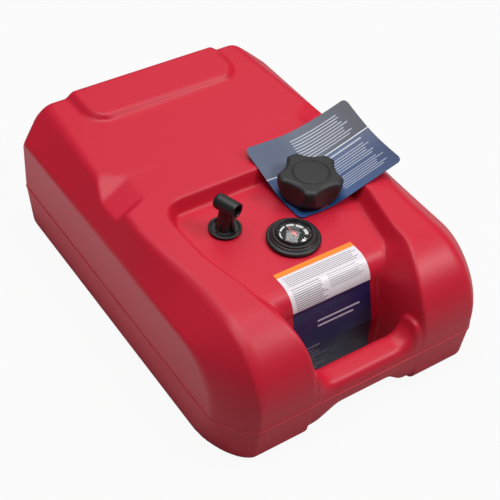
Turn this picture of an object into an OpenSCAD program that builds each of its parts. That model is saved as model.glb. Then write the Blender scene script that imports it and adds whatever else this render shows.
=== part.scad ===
// Portable fuel tank for an outboard motor: a blow-moulded shell with an integral
// carrying bar, a screwed filler cap with its relief valves and tether, a float gauge
// that works a pointer through a twisted strip, and a pick-up elbow with its dip tube.
// Frame: +Z up, the tank stands on Z = 0, the carrying bar faces -Y.

/* [Tank shell] */
// Length over the parting line
tank_len = 536; // [510:2:570]
// Width over the parting line
tank_w = 386; // [376:2:420]
// Height of the flat top
top_h = 168; // [160:1:185]
// Height of the parting line
seam_h = 56; // [48:1:62]
// Wall thickness of the moulding
wall = 5; // [3.5:0.5:6]
// Depth of the fittings deck below the top
deck_drop = 21; // [16:1:26]
// Width of the chamfer along each side of the top
chamfer_w = 28; // [24:1:34]
// Drop of that chamfer down the side wall
chamfer_drop = 37; // [30:1:44]
// Run of the chamfer down each front corner, seen in plan
corner_run = 45; // [36:1:52]
// Radius of the two rear corners in plan
rear_corner_r = 28; // [20:1:32]
// Radius of the long curve over each front lobe
lobe_r = 91; // [80:1:96]
// Rise of the pad at the back of the top
pad_rise = 8; // [5:0.5:10]
// Half the width of the pad
pad_half = 114; // [100:1:118]
// Depth of the pad from front to back
pad_depth = 80; // [60:2:100]
// Depth of the two strap notches in the edges of the top
notch_depth = 17; // [10:1:20]
// Draft of the front wall below the parting line
front_draft = 11; // [8:1:13]
// Draft of the back wall below the parting line
rear_draft = 15; // [10:1:18]

/* [Carrying bar] */
// Top of the bar above the floor
bar_top = 75; // [70:1:80]
// Underside of the bar above the floor
bar_bottom = 26; // [22:1:32]
// Depth of the bar from front to back
bar_depth = 39; // [34:1:42]
// Gap for the fingers between the bar and the label wall
finger_gap = 31; // [28:1:36]
// Half the width of the hand hole
hole_half = 74; // [70:1:78]

/* [Fittings deck] */
// Half the width of the deck at its widest
deck_half = 118; // [112:1:120]
// Distance of the gauge behind the front of the tank
gauge_s = 168; // [164:1:176]
// Distance of the filler and the pick-up behind the front of the tank
fitting_s = 224.5; // [218:0.5:228]
// Distance of the filler and the pick-up from the centre line
fitting_x = 62.5; // [60:0.5:66]

/* [Filler neck and cap] */
// Outside diameter of the filler neck
neck_d = 54; // [50:1:56]
// Wall of the filler neck
neck_wall = 4.5; // [3.5:0.5:5]
// Height of the neck above the deck
neck_h = 24; // [20:1:28]
// Diameter over the lobes of the cap
cap_d = 84; // [80:1:88]
// Height of the cap
cap_h = 35; // [33:1:38]
// Number of grip scallops round the cap
cap_lobes = 5; // [4:1:6]
// Depth of each scallop below the cap's rim
scallop_depth = 8.6; // [6:0.2:9]
// Turns that take the cap off its thread
cap_turns = 2.5; // [1.5:0.25:3]
// Rise of the cap for each turn
thread_lead = 5; // [4:0.5:5]
// Lift of the free cap on its tether
tether_lift = 75; // [60:1:78]

/* [Gauge] */
// Diameter of the gauge's flange
gauge_d = 68; // [66:1:72]
// Diameter of the gauge's window
window_d = 37; // [34:1:38]
// Diameter of the float
float_d = 38; // [30:1:42]
// Height of the float
float_h = 28; // [22:1:32]
// Travel of the float from empty to full
float_travel = 82; // [60:1:84]
// Turn of the pointer over that travel
pointer_sweep = 270; // [180:5:300]
// Width of the twisted strip
strip_w = 6.4; // [5:0.2:7]

/* [Pick-up] */
// Diameter of the elbow's flange
elbow_d = 42; // [38:1:44]
// Diameter of the elbow's hose barrel
barrel_d = 21; // [19:0.5:22]
// Bore of the elbow's outlet
outlet_d = 14.5; // [12:0.5:15]
// Height of the outlet's axis above the deck
outlet_h = 26; // [24:0.5:30]
// Turn of the outlet away from straight ahead
outlet_turn = 18; // [0:1:40]
// Outside diameter of the dip tube
dip_d = 9; // [8:0.5:10]

/* [Label and card] */
// Width of the front label
label_w = 114; // [100:1:120]
// Thickness of the front label
label_t = 0.3; // [0.2:0.05:0.4]
// Width of the information card
card_w = 153; // [130:1:156]
// Depth of the information card
card_l = 123; // [118:1:140]
// Thickness of the information card
card_t = 0.6; // [0.4:0.1:1]

/* [Hidden] */
$fn = 64;
eps = 0.01;

// Running and seating clearances
run_gap = 0.3;
seat_gap = 0.15;
pivot_gap = 0.05;

half_l = tank_len / 2;
half_w = tank_w / 2;
deck_h = top_h - deck_drop;
side_h = top_h - chamfer_drop;
deck_bank = 7;
foot_r = 8;
side_foot_r = 4;
well_s = bar_depth + finger_gap;
well_lean = 14;
deck_front = well_s + 41;
deck_back = 273;
ridge_s = deck_back + 10;
deck_corner_r = 38;
pad_front = tank_len - pad_depth;
pad_bank = 12;
top_edge_r = 7;

gauge_y = gauge_s - half_l;
fit_y = fitting_s - half_l;

// ---------------------------------------------------------------- helpers

function mix(a, b, t) = a + (b - a) * t;
function clamp01(t) = min(1, max(0, t));
function ease(t) = let (c = clamp01(t)) c * c * (3 - 2 * c);
// Lower of two heights with a soft corner of size r
function soft_min(a, b, r) = abs(a - b) >= r ? min(a, b)
    : min(a, b) - pow(r - abs(a - b), 2) / (4 * r);
// Height lost by a quarter round of radius r at distance d from its edge
function round_off(d, r) = d >= r ? 0 : r - sqrt(max(0, r * r - (r - d) * (r - d)));

module ring(r_out, r_in, z0, z1) {
    translate([0, 0, z0]) difference() {
        cylinder(r = r_out, h = z1 - z0);
        translate([0, 0, -1]) cylinder(r = r_in, h = z1 - z0 + 2);
    }
}

module disc(r, z0, z1) {
    translate([0, 0, z0]) cylinder(r = r, h = z1 - z0);
}

// ---------------------------------------------------------------- tank skin
// The moulded skin is one loft: side profiles at stations across the width. Near each
// side the profile shrinks for the chamfer, and inside the deck's edge it changes to the
// profile of the deck, the hand hole's wall and the pad. t insets it for the cavity.

// Stations counted inwards from the side wall
side_d = [0, 1.2, 4, 9, 16, 24, 29, 35, 41, 52, 66];
// The cavity's own stations, which no one sees
cavity_d = [0, 6, 16, 28, 41, 56];
// Stations across the bank at the deck's edge, as shares of its half width
bank_k = [1, 0.5, 0, -0.5, -1];
inner_k = [0.66, 0.33];

arc_n = 10;
// Distances behind the front wall along the top, fine outside and coarse inside
cavity_s = [deck_front + wall + 4, 150, 200, 245, deck_back + wall, ridge_s + wall, 320, 345, 366,
    400, pad_front + wall, pad_front + pad_bank + wall, tank_len - 32];
skin_s = concat([deck_front + 3, deck_front + 10, deck_front + 24, deck_front + 40],
    [for (k = [0.43, 0.64, 0.77, 0.86, 0.925, 0.97, 1]) mix(deck_front, deck_back, k)],
    [for (i = [1:4]) mix(deck_back, ridge_s, i / 4)],
    [286, 305, 317, 329, 339, 349, 356, 362, 369, 382, 415, 440],
    [for (i = [0:4]) pad_front + pad_bank * i / 4],
    [pad_front + 20, pad_front + 34, tank_len - 32]);

// Half width of the deck's edge (or the hand hole's, or the pad's) at distance s
function edge_half(s) =
    s < deck_front ? mix(hole_half, 100, ease(s / deck_front))
    : s < 181 ? mix(100, deck_half - 2, (s - deck_front) / (181 - deck_front))
    : s < ridge_s - deck_corner_r
        ? mix(deck_half - 2, deck_half, (s - 181) / (ridge_s - deck_corner_r - 181))
    : s < ridge_s ? deck_half - round_off(ridge_s + 3 - s, deck_corner_r + 3)
    : s < pad_front ? mix(deck_half - deck_corner_r, pad_half - 24,
        (s - ridge_s) / (pad_front - ridge_s))
    : pad_half - round_off(s - pad_front + 0.5, 24);

// Strap notch in each edge of the top: a rear facet, a floor that falls to the side and a
// steep front facet. Its corners are placed from the inner rear one, the apex.
notch_apex_d = 69;
notch_apex_s = 349;
notch_fall = notch_depth / 60;
// Its steep front facet stands this far in front of the apex and out from it
notch_run = 63;
notch_reach = 46;
function notch_floor(d, s) = top_h + max(
    notch_fall * (0.64 * (d - notch_apex_d) + 1.08 * (s - notch_apex_s)),
    notch_fall * (d - notch_apex_d + 0.11 * (notch_apex_s - s)),
    1.2 * (notch_apex_s - notch_run + 0.46 * (d - notch_apex_d + notch_reach) - s));

// Width of the side chamfer: narrowest beside the deck, wider to the front and the back
function chamfer_at(s) = chamfer_w + (s > 260 ? 16 * pow((s - 260) / 262, 1.3)
    : 14 * ease((260 - s) / 130));
front_chamfer = chamfer_at(0);
corner_facet = 37;
function side_top(d, s) = soft_min(top_h,
    side_h + chamfer_drop * d / chamfer_at(s), 6);
// Set-back of the front wall round the corner facet, a little full in its middle
function front_run(d) = let (k = clamp01(d / corner_facet))
    corner_run * (1 - k) - 5 * sin(180 * k);

// Outline of the lobes: points [s, z] round the side profile at distance d from the wall
function lobe_profile(d, t, top_s, n) = let (
        k = clamp01(d / front_chamfer),
        s0 = front_run(d) + t,
        s1 = tank_len - round_off(d, rear_corner_r) - t,
        zt = side_top(d, 0) - t,
        ze = side_top(d, tank_len) - t,
        z1 = mix(62, 77, k),
        rs = mix(68, lobe_r, k) - t,
        zb = round_off(d, side_foot_r) + t,
        sf = s0 + front_draft - 4,
        sr = s1 - rear_draft,
        rb = top_edge_r,
        last = len(top_s) - 1,
        sb = s1 - rb - 2)
    concat(
        [for (i = [0:5]) [mix(sr - foot_r, sf + foot_r, i / 5), zb]],
        [[sf + 2.5, zb + 2.5], [sf - 1.5, zb + foot_r],
         [s0 + front_draft * 0.45, seam_h * 0.55], [s0, seam_h]],
        [for (i = [0:n]) let (a = 90 * i / n)
            [s0 + rs * (1 - cos(a)), mix(z1, zt, sin(a))]],
        [for (j = [0:last])
            let (s = min(max(top_s[j], s0 + rs + 1 + j), sb - 0.5 * (last - j + 1)))
            [s, min(side_top(d, s), notch_floor(d, s)) - t]],
        [for (i = [0:4]) let (a = 90 * i / 4) [sb + rb * sin(a), ze - rb * (1 - cos(a))]],
        [[s1 - 1, mix(ze - rb, seam_h, 0.5)], [s1, seam_h],
         [s1 - rear_draft * 0.45, seam_h * 0.55], [sr + 1.5, zb + foot_r],
         [sr - 2.5, zb + 2.5]]);

// Outline down the middle: hand hole's wall, deck, ridge, top and pad
function middle_top(s) = s <= deck_back ? deck_h
    : s < ridge_s ? mix(deck_h, top_h, ease((s - deck_back) / (ridge_s - deck_back)))
    : s <= pad_front ? top_h
    : top_h + pad_rise * ease((s - pad_front) / pad_bank);
function middle_profile(t, top_s, n) = let (
        s1 = tank_len - t,
        zt = top_h + pad_rise - t,
        sf = well_s + t,
        sr = s1 - rear_draft,
        rb = top_edge_r)
    concat(
        [for (i = [0:5]) [mix(sr - foot_r, sf + foot_r, i / 5), t]],
        [[sf + 2.5, t + 2.5], [sf, t + foot_r], [sf, seam_h * 0.55], [sf, seam_h]],
        [for (i = [0:n]) let (u = i / n,
                a = 90 * clamp01((u - 0.4) / 0.6),
                w = clamp01(u / 0.4))
            [sf + well_lean * w + (deck_front - well_s - well_lean) * (1 - cos(a)),
             mix(mix(seam_h + 8, deck_h - 30, w), deck_h, sin(a)) - t]],
        [for (s = top_s) [s, middle_top(s - t) - t]],
        [for (i = [0:4]) let (a = 90 * i / 4)
            [s1 - rb - 2 + rb * sin(a), zt - rb * (1 - cos(a))]],
        [[s1 - 1, mix(zt - rb, seam_h, 0.5)], [s1, seam_h],
         [s1 - rear_draft * 0.45, seam_h * 0.55], [sr + 1.5, t + foot_r],
         [sr - 2.5, t + 2.5]]);

// Half width of the change from lobe to middle for every point of the outline
function outline_half(top_s, n) = concat(
    [for (i = [0:9]) hole_half],
    [for (i = [0:n]) let (a = 90 * i / n) edge_half(lobe_r * (1 - cos(a)) * 1.1)],
    [for (s = top_s) edge_half(s)],
    [for (i = [0:9]) pad_half]);

function station_x(i, h, ds) = let (nd = len(ds), nb = len(bank_k))
    i < nd ? half_w - ds[i]
    : i < nd + nb ? h + deck_bank * bank_k[i - nd]
    : i < nd + nb + len(inner_k) ? (h - deck_bank) * inner_k[i - nd - nb]
    : 0;
// Share of the middle profile at each station
function station_mix(i, nd) = i < nd ? 0
    : i < nd + len(bank_k) ? ease((1 - bank_k[i - nd]) / 2) : 1;

function outline_at(i, t, ds, top_s, n) = let (
        nd = len(ds),
        lobe = lobe_profile(i < nd ? ds[i] : 70, t, top_s, n),
        mid = middle_profile(t, top_s, n),
        half = outline_half(top_s, n),
        m = station_mix(i, nd),
        inset = i < nd ? (half_w - t) / half_w : 1)
    [for (j = [0:len(lobe) - 1]) let (p = mix(lobe[j], mid[j], m))
        [station_x(i, half[j] + t, ds) * inset, p[0] - half_l, p[1]]];

// All rings from the right wall to the left wall
function skin_rings(t, ds, top_s, n) = let (
        last = len(ds) + len(bank_k) + len(inner_k),
        right = [for (i = [0:last]) outline_at(i, t, ds, top_s, n)])
    concat(right, [for (i = [last - 1:-1:0]) [for (p = right[i]) [-p[0], p[1], p[2]]]]);

module skin(t, ds, top_s, arc) {
    rings = skin_rings(t, ds, top_s, arc);
    n = len(rings);
    m = len(rings[0]);
    mid_r = [rings[0][0][0], 0, seam_h];
    points = concat([for (r = rings) each r],
        [mid_r, [-mid_r[0], mid_r[1], mid_r[2]]]);
    faces = concat(
        [for (i = [0:n - 2]) for (j = [0:m - 1]) let (k = (j + 1) % m)
            each [[i * m + j, (i + 1) * m + j, (i + 1) * m + k],
                  [i * m + j, (i + 1) * m + k, i * m + k]]],
        [for (j = [0:m - 1]) [n * m, j, (j + 1) % m]],
        [for (j = [0:m - 1]) [n * m + 1, (n - 1) * m + (j + 1) % m, (n - 1) * m + j]]);
    polyhedron(points = points, faces = faces, convexity = 10);
}

// ---------------------------------------------------------------- carrying bar

bar_reach = hole_half + 9;
bar_fillet = 26;
bar_stations = 20;
bar_sides = 20;

function bar_z1(x) = bar_top + round_off(max(0, hole_half - 3 - abs(x)), bar_fillet);
function bar_z0(x) = mix(bar_bottom, 3, ease((abs(x) - 36) / 38));
function bar_section(x) = let (z0 = bar_z0(x), z1 = bar_z1(x), n = 3.2)
    [for (i = [0:bar_sides - 1]) let (a = 360 * (i + 0.5) / bar_sides,
            c = cos(a), s = sin(a),
            z = (z0 + z1) / 2 + (z1 - z0) / 2 * sign(s) * pow(abs(s), 2 / n),
            lean = front_draft * clamp01((seam_h - z) / seam_h) + 0.5,
            back = bar_depth)
        [x, (lean + back) / 2 + (back - lean) / 2 * sign(c) * pow(abs(c), 2 / n) - half_l,
         z]];

module carrying_bar() {
    xs = [for (i = [0:bar_stations]) mix(-bar_reach, bar_reach, i / bar_stations)];
    m = bar_sides;
    n = len(xs);
    faces = concat(
        [for (i = [0:n - 2]) for (j = [0:m - 1]) let (k = (j + 1) % m)
            each [[i * m + j, (i + 1) * m + j, (i + 1) * m + k],
                  [i * m + j, (i + 1) * m + k, i * m + k]]],
        [[for (j = [0:m - 1]) j]],
        [[for (j = [m - 1:-1:0]) (n - 1) * m + j]]);
    polyhedron(points = [for (x = xs) each bar_section(x)], faces = faces, convexity = 6);
}

// ---------------------------------------------------------------- tank shell

neck_r = neck_d / 2;
neck_bore = neck_r - neck_wall;
neck_top = deck_h + neck_h;
gauge_port_r = 25.5;
pickup_port_r = 8;
boss_drop = 11;

module at_gauge() { translate([0, gauge_y, 0]) children(); }
module at_cap() { translate([fitting_x, fit_y, 0]) children(); }
module at_pickup() { translate([-fitting_x, fit_y, 0]) children(); }

module tank_shell() color([0.78, 0.16, 0.2]) difference() {
    union() {
        difference() {
            union() {
                skin(0, side_d, skin_s, arc_n);
                carrying_bar();
            }
            skin(wall, cavity_d, cavity_s, 5);
        }
        at_cap() {
            ring(neck_r, neck_bore, deck_h - boss_drop, neck_top);
            ring(neck_r + 3.5, neck_bore, deck_h - wall, deck_h + 2);
        }
        at_gauge() ring(gauge_port_r + 5, gauge_port_r, deck_h - boss_drop, deck_h - 1);
        at_pickup() ring(pickup_port_r + 5, pickup_port_r, deck_h - boss_drop, deck_h - 1);
    }
    at_cap() disc(neck_bore, deck_h - boss_drop - 1, neck_top + 1);
    at_gauge() disc(gauge_port_r, deck_h - boss_drop - 1, deck_h + 1);
    at_pickup() disc(pickup_port_r, deck_h - boss_drop - 1, deck_h + 1);
}

// ---------------------------------------------------------------- label and card

// Route of the label: the skin's own middle profile, from the deck over the bend and down
// the hand hole's wall
label_back = deck_front + 18;
label_foot = 8.5;
label_route = let (mp = middle_profile(0, skin_s, arc_n))
    concat([[well_s, label_foot]], [for (i = [9:10 + arc_n]) mp[i]], [[label_back, deck_h]]);
// The route moved out from the skin by d
function route_out(p, d) = let (last = len(p) - 1)
    [for (i = [0:last]) let (
        v = p[min(i + 1, last)] - p[max(i - 1, 0)],
        n = [-v[1], v[0]] / norm(v)) p[i] + n * d];

module front_label() color([0.93, 0.93, 0.94]) {
    lower = route_out(label_route, 0.1);
    upper = route_out(label_route, 0.1 + label_t);
    rotate([90, 0, 90]) translate([-half_l, 0, -label_w / 2])
        linear_extrude(height = label_w)
            polygon(concat(upper, [for (i = [len(lower) - 1:-1:0]) lower[i]]));
}

// The card rests on the deck at its front left corner and on the edges of the top behind and
// beside the filler. Round the cap's foot it is pressed down. Its hole is wide and sits off
// the neck's centre.
card_corner = [fitting_x - 35, fit_y - 32.5];
card_hole_r = neck_r + 6.5;
card_hole_off = 2.5;
card_nx = 30;
card_ny = 24;
card_base = deck_h + 2.8;
// Middle, half length and slope of the two bends, towards the right and towards the back
card_side = [deck_half - 45, 22, (deck_drop - 1.3) / 50];
card_back = [ridge_s - half_l - 53, 21, (deck_drop - 1.9) / 53];
function ramp(v, bend) = let (d = v - bend[0], b = bend[1])
    bend[2] * (d < -b ? 0 : d < b ? (d + b) * (d + b) / (4 * b) : d);
// Height that stays below the cap's flank at distance r from its axis
function under_cap(r) = r > cap_r ? 2 * cap_z1
    : cap_z0 - 1.2 + cap_swell_h * asin(clamp01((r - cap_foot_r) / (cap_r - cap_foot_r))) / 90;
function card_z(x, y) = soft_min(card_base + norm([ramp(x, card_side), ramp(y, card_back)]),
    under_cap(norm([x - fitting_x, y - fit_y])), 1.5);
// Place on the card, u to the right and v to the back
function card_at(u, v) = let (
        x = card_corner[0] + card_w * (0.963 - 0.006 * v) * u - 0.053 * card_l * v * (1 - u),
        y = card_corner[1] + card_l * (0.967 - 0.044 * u) * v - 0.059 * card_w * u * (1 - v))
    [x, y, card_z(x, y)];

module info_card() color([0.3, 0.37, 0.5]) difference() {
    n = card_nx + 1;
    top = [for (j = [0:card_ny]) for (i = [0:card_nx]) card_at(i / card_nx, j / card_ny)];
    edge = concat([for (i = [0:card_nx - 1]) i],
        [for (j = [0:card_ny - 1]) j * n + card_nx],
        [for (i = [card_nx:-1:1]) card_ny * n + i],
        [for (j = [card_ny:-1:1]) j * n]);
    c = len(top);
    polyhedron(points = concat(top, [for (p = top) p - [0, 0, card_t]]),
        faces = concat(
            [for (j = [0:card_ny - 1]) for (i = [0:card_nx - 1]) let (a = j * n + i)
                each [[a, a + n, a + n + 1], [a, a + n + 1, a + 1],
                      [c + a, c + a + n + 1, c + a + n], [c + a, c + a + 1, c + a + n + 1]]],
            [for (k = [0:len(edge) - 1]) let (a = edge[k], b = edge[(k + 1) % len(edge)])
                each [[a, b, c + b], [a, c + b, c + a]]]));
    at_cap() translate([card_hole_off, card_hole_off, 0])
        disc(card_hole_r, deck_h - 5, top_h + 30);
}

// ---------------------------------------------------------------- filler cap

cap_z0 = deck_h + 4.5;
cap_z1 = cap_z0 + cap_h;
cap_r = cap_d / 2;
core_in_r = neck_r + run_gap + 0.1;
core_r = core_in_r + 2.2;
shell_in_r = core_r + seat_gap;
cap_foot_r = shell_in_r + 1.7;
core_roof = neck_top + 2.5;
core_top = core_roof + 3;
core_foot = cap_z0 + 5;
shell_roof = core_top + 2.5;
cap_crown_r = 7;
cap_swell_h = 25;

// Half outline of the cap: a narrow foot that swells to the lobes, and a rounded crown
module cap_outline() {
    swell = cap_r - cap_foot_r;
    polygon(concat([[0, cap_z0], [cap_foot_r, cap_z0]],
        [for (i = [1:6]) let (k = i / 6)
            [cap_foot_r + swell * sin(90 * k), cap_z0 + cap_swell_h * k]],
        [for (i = [0:6]) let (a = 90 * i / 6)
            [cap_r - cap_crown_r + cap_crown_r * cos(a),
             cap_z1 - cap_crown_r * 0.72 * (1 - sin(a))]],
        [[cap_r * 0.62, cap_z1 - 0.4], [cap_r * 0.58, cap_z1 - 1.2],
         [cap_r * 0.54, cap_z1 - 1.2], [cap_r * 0.51, cap_z1 - 0.2], [0, cap_z1 - 0.2]]));
}

// Plan of the cap: a circle with shallow scallops between the lobes
scallop_r = 38;
module cap_plan() difference() {
    circle(r = cap_r, $fn = 128);
    for (i = [0:cap_lobes - 1]) rotate(360 * (i + 0.5) / cap_lobes - 126)
        translate([cap_r - scallop_depth + scallop_r, 0]) circle(r = scallop_r, $fn = 128);
}

module cap_shell() color([0.1, 0.1, 0.11]) at_cap() difference() {
    intersection() {
        rotate_extrude($fn = 96) cap_outline();
        translate([0, 0, cap_z0]) linear_extrude(height = cap_h) cap_plan();
    }
    disc(shell_in_r, cap_z0 - 1, shell_roof);
}

valve_x = 14;
valve_seat_z = core_roof - 13;
valve_boss_r = 7.5;
valve_floor = 2;
valve_bore_r = 5.8;
poppet_r = 5.3;
umbrella_x = -13;
hub_r = 5;
pin_r = 2;
pin_collar_r = 3;
pin_collar_z = core_roof - 5;
hub_foot = valve_seat_z - valve_floor - run_gap;

module cap_core() color([0.16, 0.16, 0.17]) at_cap() difference() {
    union() {
        ring(core_r, core_in_r, core_foot, core_roof + eps);
        disc(core_r, core_roof, core_top);
        ring(core_r, core_r - 2.5, core_top - eps, shell_roof - 0.02);
        translate([valve_x, 0, 0]) disc(valve_boss_r, valve_seat_z - valve_floor, core_roof + 1);
        disc(hub_r, hub_foot, core_roof + 1);
    }
    translate([valve_x, 0, 0]) {
        disc(valve_bore_r, valve_seat_z, core_top + 1);
        disc(2.6, valve_seat_z - 3, valve_seat_z + 1);
    }
    translate([umbrella_x, 0, 0]) {
        disc(1.25, core_roof - 1, core_top + 1);
        for (a = [0:90:270]) rotate(a) translate([3.2, 0, 0])
            disc(0.8, core_roof - 1, core_top + 1);
    }
    disc(pin_r + pivot_gap * 2, hub_foot - 1, core_top - 1);
    disc(pin_collar_r + 0.1, pin_collar_z - 0.1, pin_collar_z + 1.5);
}

module cap_gasket() color([0.2, 0.2, 0.2]) at_cap()
    ring(neck_r, neck_bore + 0.5, neck_top + 0.1, core_roof - 0.05);

module relief_poppet() color([0.85, 0.85, 0.8]) at_cap() translate([valve_x, 0, 0]) {
    disc(poppet_r, valve_seat_z + 0.1, valve_seat_z + 2);
    disc(1.4, valve_seat_z + 2 - eps, valve_seat_z + 8);
}

spring_turns = 4;
spring_wire_r = 0.35;
spring_mean_r = 3.6;
spring_z0 = valve_seat_z + 2;
spring_z1 = core_top - 2.4;
spring_steps = 8;
// One round wire wound as an open coil
module relief_spring() color([0.75, 0.75, 0.78]) at_cap() translate([valve_x, 0, 0]) {
    n = spring_turns * spring_steps;
    m = 6;
    pts = [for (i = [0:n]) let (a = 360 * i / spring_steps,
            z = mix(spring_z0 + spring_wire_r, spring_z1 - spring_wire_r, i / n))
        for (j = [0:m - 1]) let (b = 360 * j / m, r = spring_mean_r + spring_wire_r * cos(b))
            [r * cos(a), r * sin(a), z + spring_wire_r * sin(b)]];
    polyhedron(points = pts, faces = concat(
        [for (i = [0:n - 1]) for (j = [0:m - 1]) let (k = (j + 1) % m)
            each [[i * m + j, (i + 1) * m + k, (i + 1) * m + j],
                  [i * m + j, i * m + k, (i + 1) * m + k]]],
        [[for (j = [m - 1:-1:0]) j]], [[for (j = [0:m - 1]) n * m + j]]), convexity = 6);
}

module relief_retainer() color([0.8, 0.8, 0.75]) at_cap() translate([valve_x, 0, 0])
    ring(valve_bore_r - 0.05, 1.7, core_top - 2.4, core_top - 0.2);

module vacuum_valve() color([0.25, 0.25, 0.25]) at_cap() translate([umbrella_x, 0, 0]) {
    disc(1.15, core_roof - 1, core_top + 0.2);
    disc(4.8, core_roof - 1.3, core_roof - 0.15);
    disc(1.9, core_top + 0.15, core_top + 1);
}

thread_rise = cap_turns * thread_lead;
eye_z1 = hub_foot - 0.6;
eye_z0 = eye_z1 - 2;
pin_head_z = eye_z0 - thread_rise - 0.5;
// Swivel pin: its collar snaps into the hub, its head carries the tether's eye
module tether_pin() color([0.6, 0.6, 0.62]) at_cap() {
    disc(pin_r, pin_head_z - 1, core_top - 1.3);
    disc(pin_collar_r, pin_collar_z, pin_collar_z + 1.4);
    disc(4.6, pin_head_z - 2, pin_head_z);
}

tether_w = 5;
tether_t = 1.6;
anchor_w = 62;
anchor_z = deck_h - boss_drop - 3.2 - tether_lift;
// Tether: an eye round the pin, a strap down into the tank and a cross bar
module tether_strap() color([0.6, 0.6, 0.62]) at_cap() {
    difference() {
        union() {
            disc(5.4, eye_z0, eye_z1);
            translate([-tether_w / 2, 4, eye_z0]) cube([tether_w, 9, 2]);
        }
        disc(pin_r + 0.2, eye_z0 - 1, eye_z1 + 1);
    }
    translate([-tether_w / 2, 13 - tether_t, anchor_z])
        cube([tether_w, tether_t, eye_z1 - anchor_z]);
    translate([-anchor_w / 2, 13 - tether_t / 2, anchor_z])
        rotate([0, 90, 0]) cylinder(r = 2.5, h = anchor_w);
}

// ---------------------------------------------------------------- float gauge

gauge_r = gauge_d / 2;
seal_t = 2;
gauge_z = deck_h + seal_t;
plug_z = gauge_z - 15;
cup_r = gauge_r - 7;
cup_in_r = cup_r - 3.6;
dial_z = gauge_z + 5.4;
dial_t = 1;
rod_r = 2;
rod_x = 12;
shaft_r = 1.2;
foot_z = wall + 4;
foot_t = 4;
rod_foot_z = foot_z + foot_t;
window_r = window_d / 2;
bezel_r = cup_in_r - 0.1;
lens_r = window_r + 2;
bezel_z0 = gauge_z + 6.42;
lens_z = dial_z + dial_t + 0.02;

module gauge_housing() color([0.09, 0.09, 0.1]) at_gauge() difference() {
    union() {
        rotate_extrude() polygon([[0, gauge_z], [gauge_r - 1.5, gauge_z],
            [gauge_r, gauge_z + 1.2], [gauge_r, gauge_z + 2.6], [gauge_r - 1.2, gauge_z + 4],
            [cup_r + 2.4, gauge_z + 4.6], [cup_r + 0.4, gauge_z + 6], [cup_r, gauge_z + 8.4],
            [cup_r - 1, gauge_z + 9.4], [0, gauge_z + 9.4]]);
        disc(gauge_port_r - 0.2, plug_z, gauge_z + 1);
    }
    disc(cup_in_r, gauge_z + 6.4, gauge_z + 12);
    disc(cup_in_r - 1.6, dial_z, gauge_z + 7);
    disc(shaft_r + pivot_gap, plug_z - 1, gauge_z + 7);
    for (s = [-1, 1]) translate([s * rod_x, 0, 0]) disc(rod_r, plug_z - 1, plug_z + 8);
}

module gauge_gasket() color([0.18, 0.18, 0.18]) at_gauge()
    ring(gauge_r - 1, gauge_port_r + 0.3, deck_h + 0.02, gauge_z - 0.02);

module gauge_bezel() color([0.08, 0.08, 0.09]) at_gauge() rotate_extrude() polygon([
    [lens_r + 0.1, bezel_z0], [bezel_r, bezel_z0], [bezel_r, gauge_z + 9.6],
    [bezel_r - 0.8, gauge_z + 12], [window_r + 1.2, gauge_z + 12.6],
    [window_r + 0.4, gauge_z + 12], [window_r + 0.4, lens_z + 2.02], [lens_r + 0.1, lens_z + 2.02]]);

// Clear dome: a flange under the bezel's lip and a shallow spherical crown
dome_rise = 7;
dome_t = 1.6;
module gauge_lens() color([0.85, 0.9, 0.92, 0.35]) at_gauge() {
    w = window_r + 0.1;
    r = (w * w + dome_rise * dome_rise) / (2 * dome_rise);
    top = lens_z + 2 + dome_rise;
    rotate_extrude() polygon(concat(
        [[w - dome_t, lens_z], [lens_r, lens_z], [lens_r, lens_z + 2], [w, lens_z + 2]],
        [for (i = [1:10]) let (a = asin(w / r) * (1 - i / 10))
            [r * sin(a), top - r * (1 - cos(a))]],
        [for (i = [10:-1:0]) let (ri = r - dome_t, a = asin((w - dome_t) / ri) * (1 - i / 10))
            [ri * sin(a), top - dome_t - ri * (1 - cos(a))]]));
}

module gauge_dial() color([0.12, 0.12, 0.13]) at_gauge()
    ring(cup_in_r - 1.7, shaft_r + 0.8, dial_z + 0.02, dial_z + dial_t);

pointer_z = dial_z + dial_t + 0.5;
pointer_len = 14;
module gauge_pointer() color([0.85, 0.15, 0.12]) at_gauge() difference() {
    union() {
        disc(2.8, pointer_z, pointer_z + 1.2);
        translate([0, 0, pointer_z]) linear_extrude(height = 0.8)
            polygon([[-1.3, -5], [1.3, -5], [0.9, 0], [0.3, pointer_len],
                     [-0.3, pointer_len], [-0.9, 0]]);
    }
    disc(shaft_r, pointer_z - 1, pointer_z + 0.8);
}

strip_t = 1;
strip_z0 = rod_foot_z + 1;
strip_z1 = plug_z - 1;
// Twist for each millimetre of height, from the pointer's sweep over the float's travel
strip_rate = pointer_sweep / float_travel;
strip_steps = 56;
float_rest = rod_foot_z + 3 + float_travel / 2;
follower_t = 1.6;
// The strip lies across the follower's slot where the float now stands
module gauge_strip() color([0.78, 0.78, 0.8]) at_gauge() {
    h = strip_z1 - strip_z0;
    z_slot = float_rest + float_h + follower_t / 2;
    n = strip_steps;
    corners = [[1, 1], [-1, 1], [-1, -1], [1, -1]];
    pts = [for (i = [0:n]) let (z = strip_z0 + h * i / n, a = strip_rate * (z - z_slot))
        for (c = corners) let (x = c[0] * strip_w / 2, y = c[1] * strip_t / 2)
            [x * cos(a) - y * sin(a), x * sin(a) + y * cos(a), z]];
    polyhedron(points = pts, faces = concat(
        [for (i = [0:n - 1]) for (j = [0:3]) let (k = (j + 1) % 4)
            each [[i * 4 + j, (i + 1) * 4 + k, i * 4 + k],
                  [i * 4 + j, (i + 1) * 4 + j, (i + 1) * 4 + k]]],
        [[0, 1, 2, 3]], [[for (j = [3:-1:0]) n * 4 + j]]), convexity = 6);
    disc(shaft_r, strip_z1 - eps, pointer_z + 0.7);
    disc(shaft_r, foot_z + 1, strip_z0 + eps);
}

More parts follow.
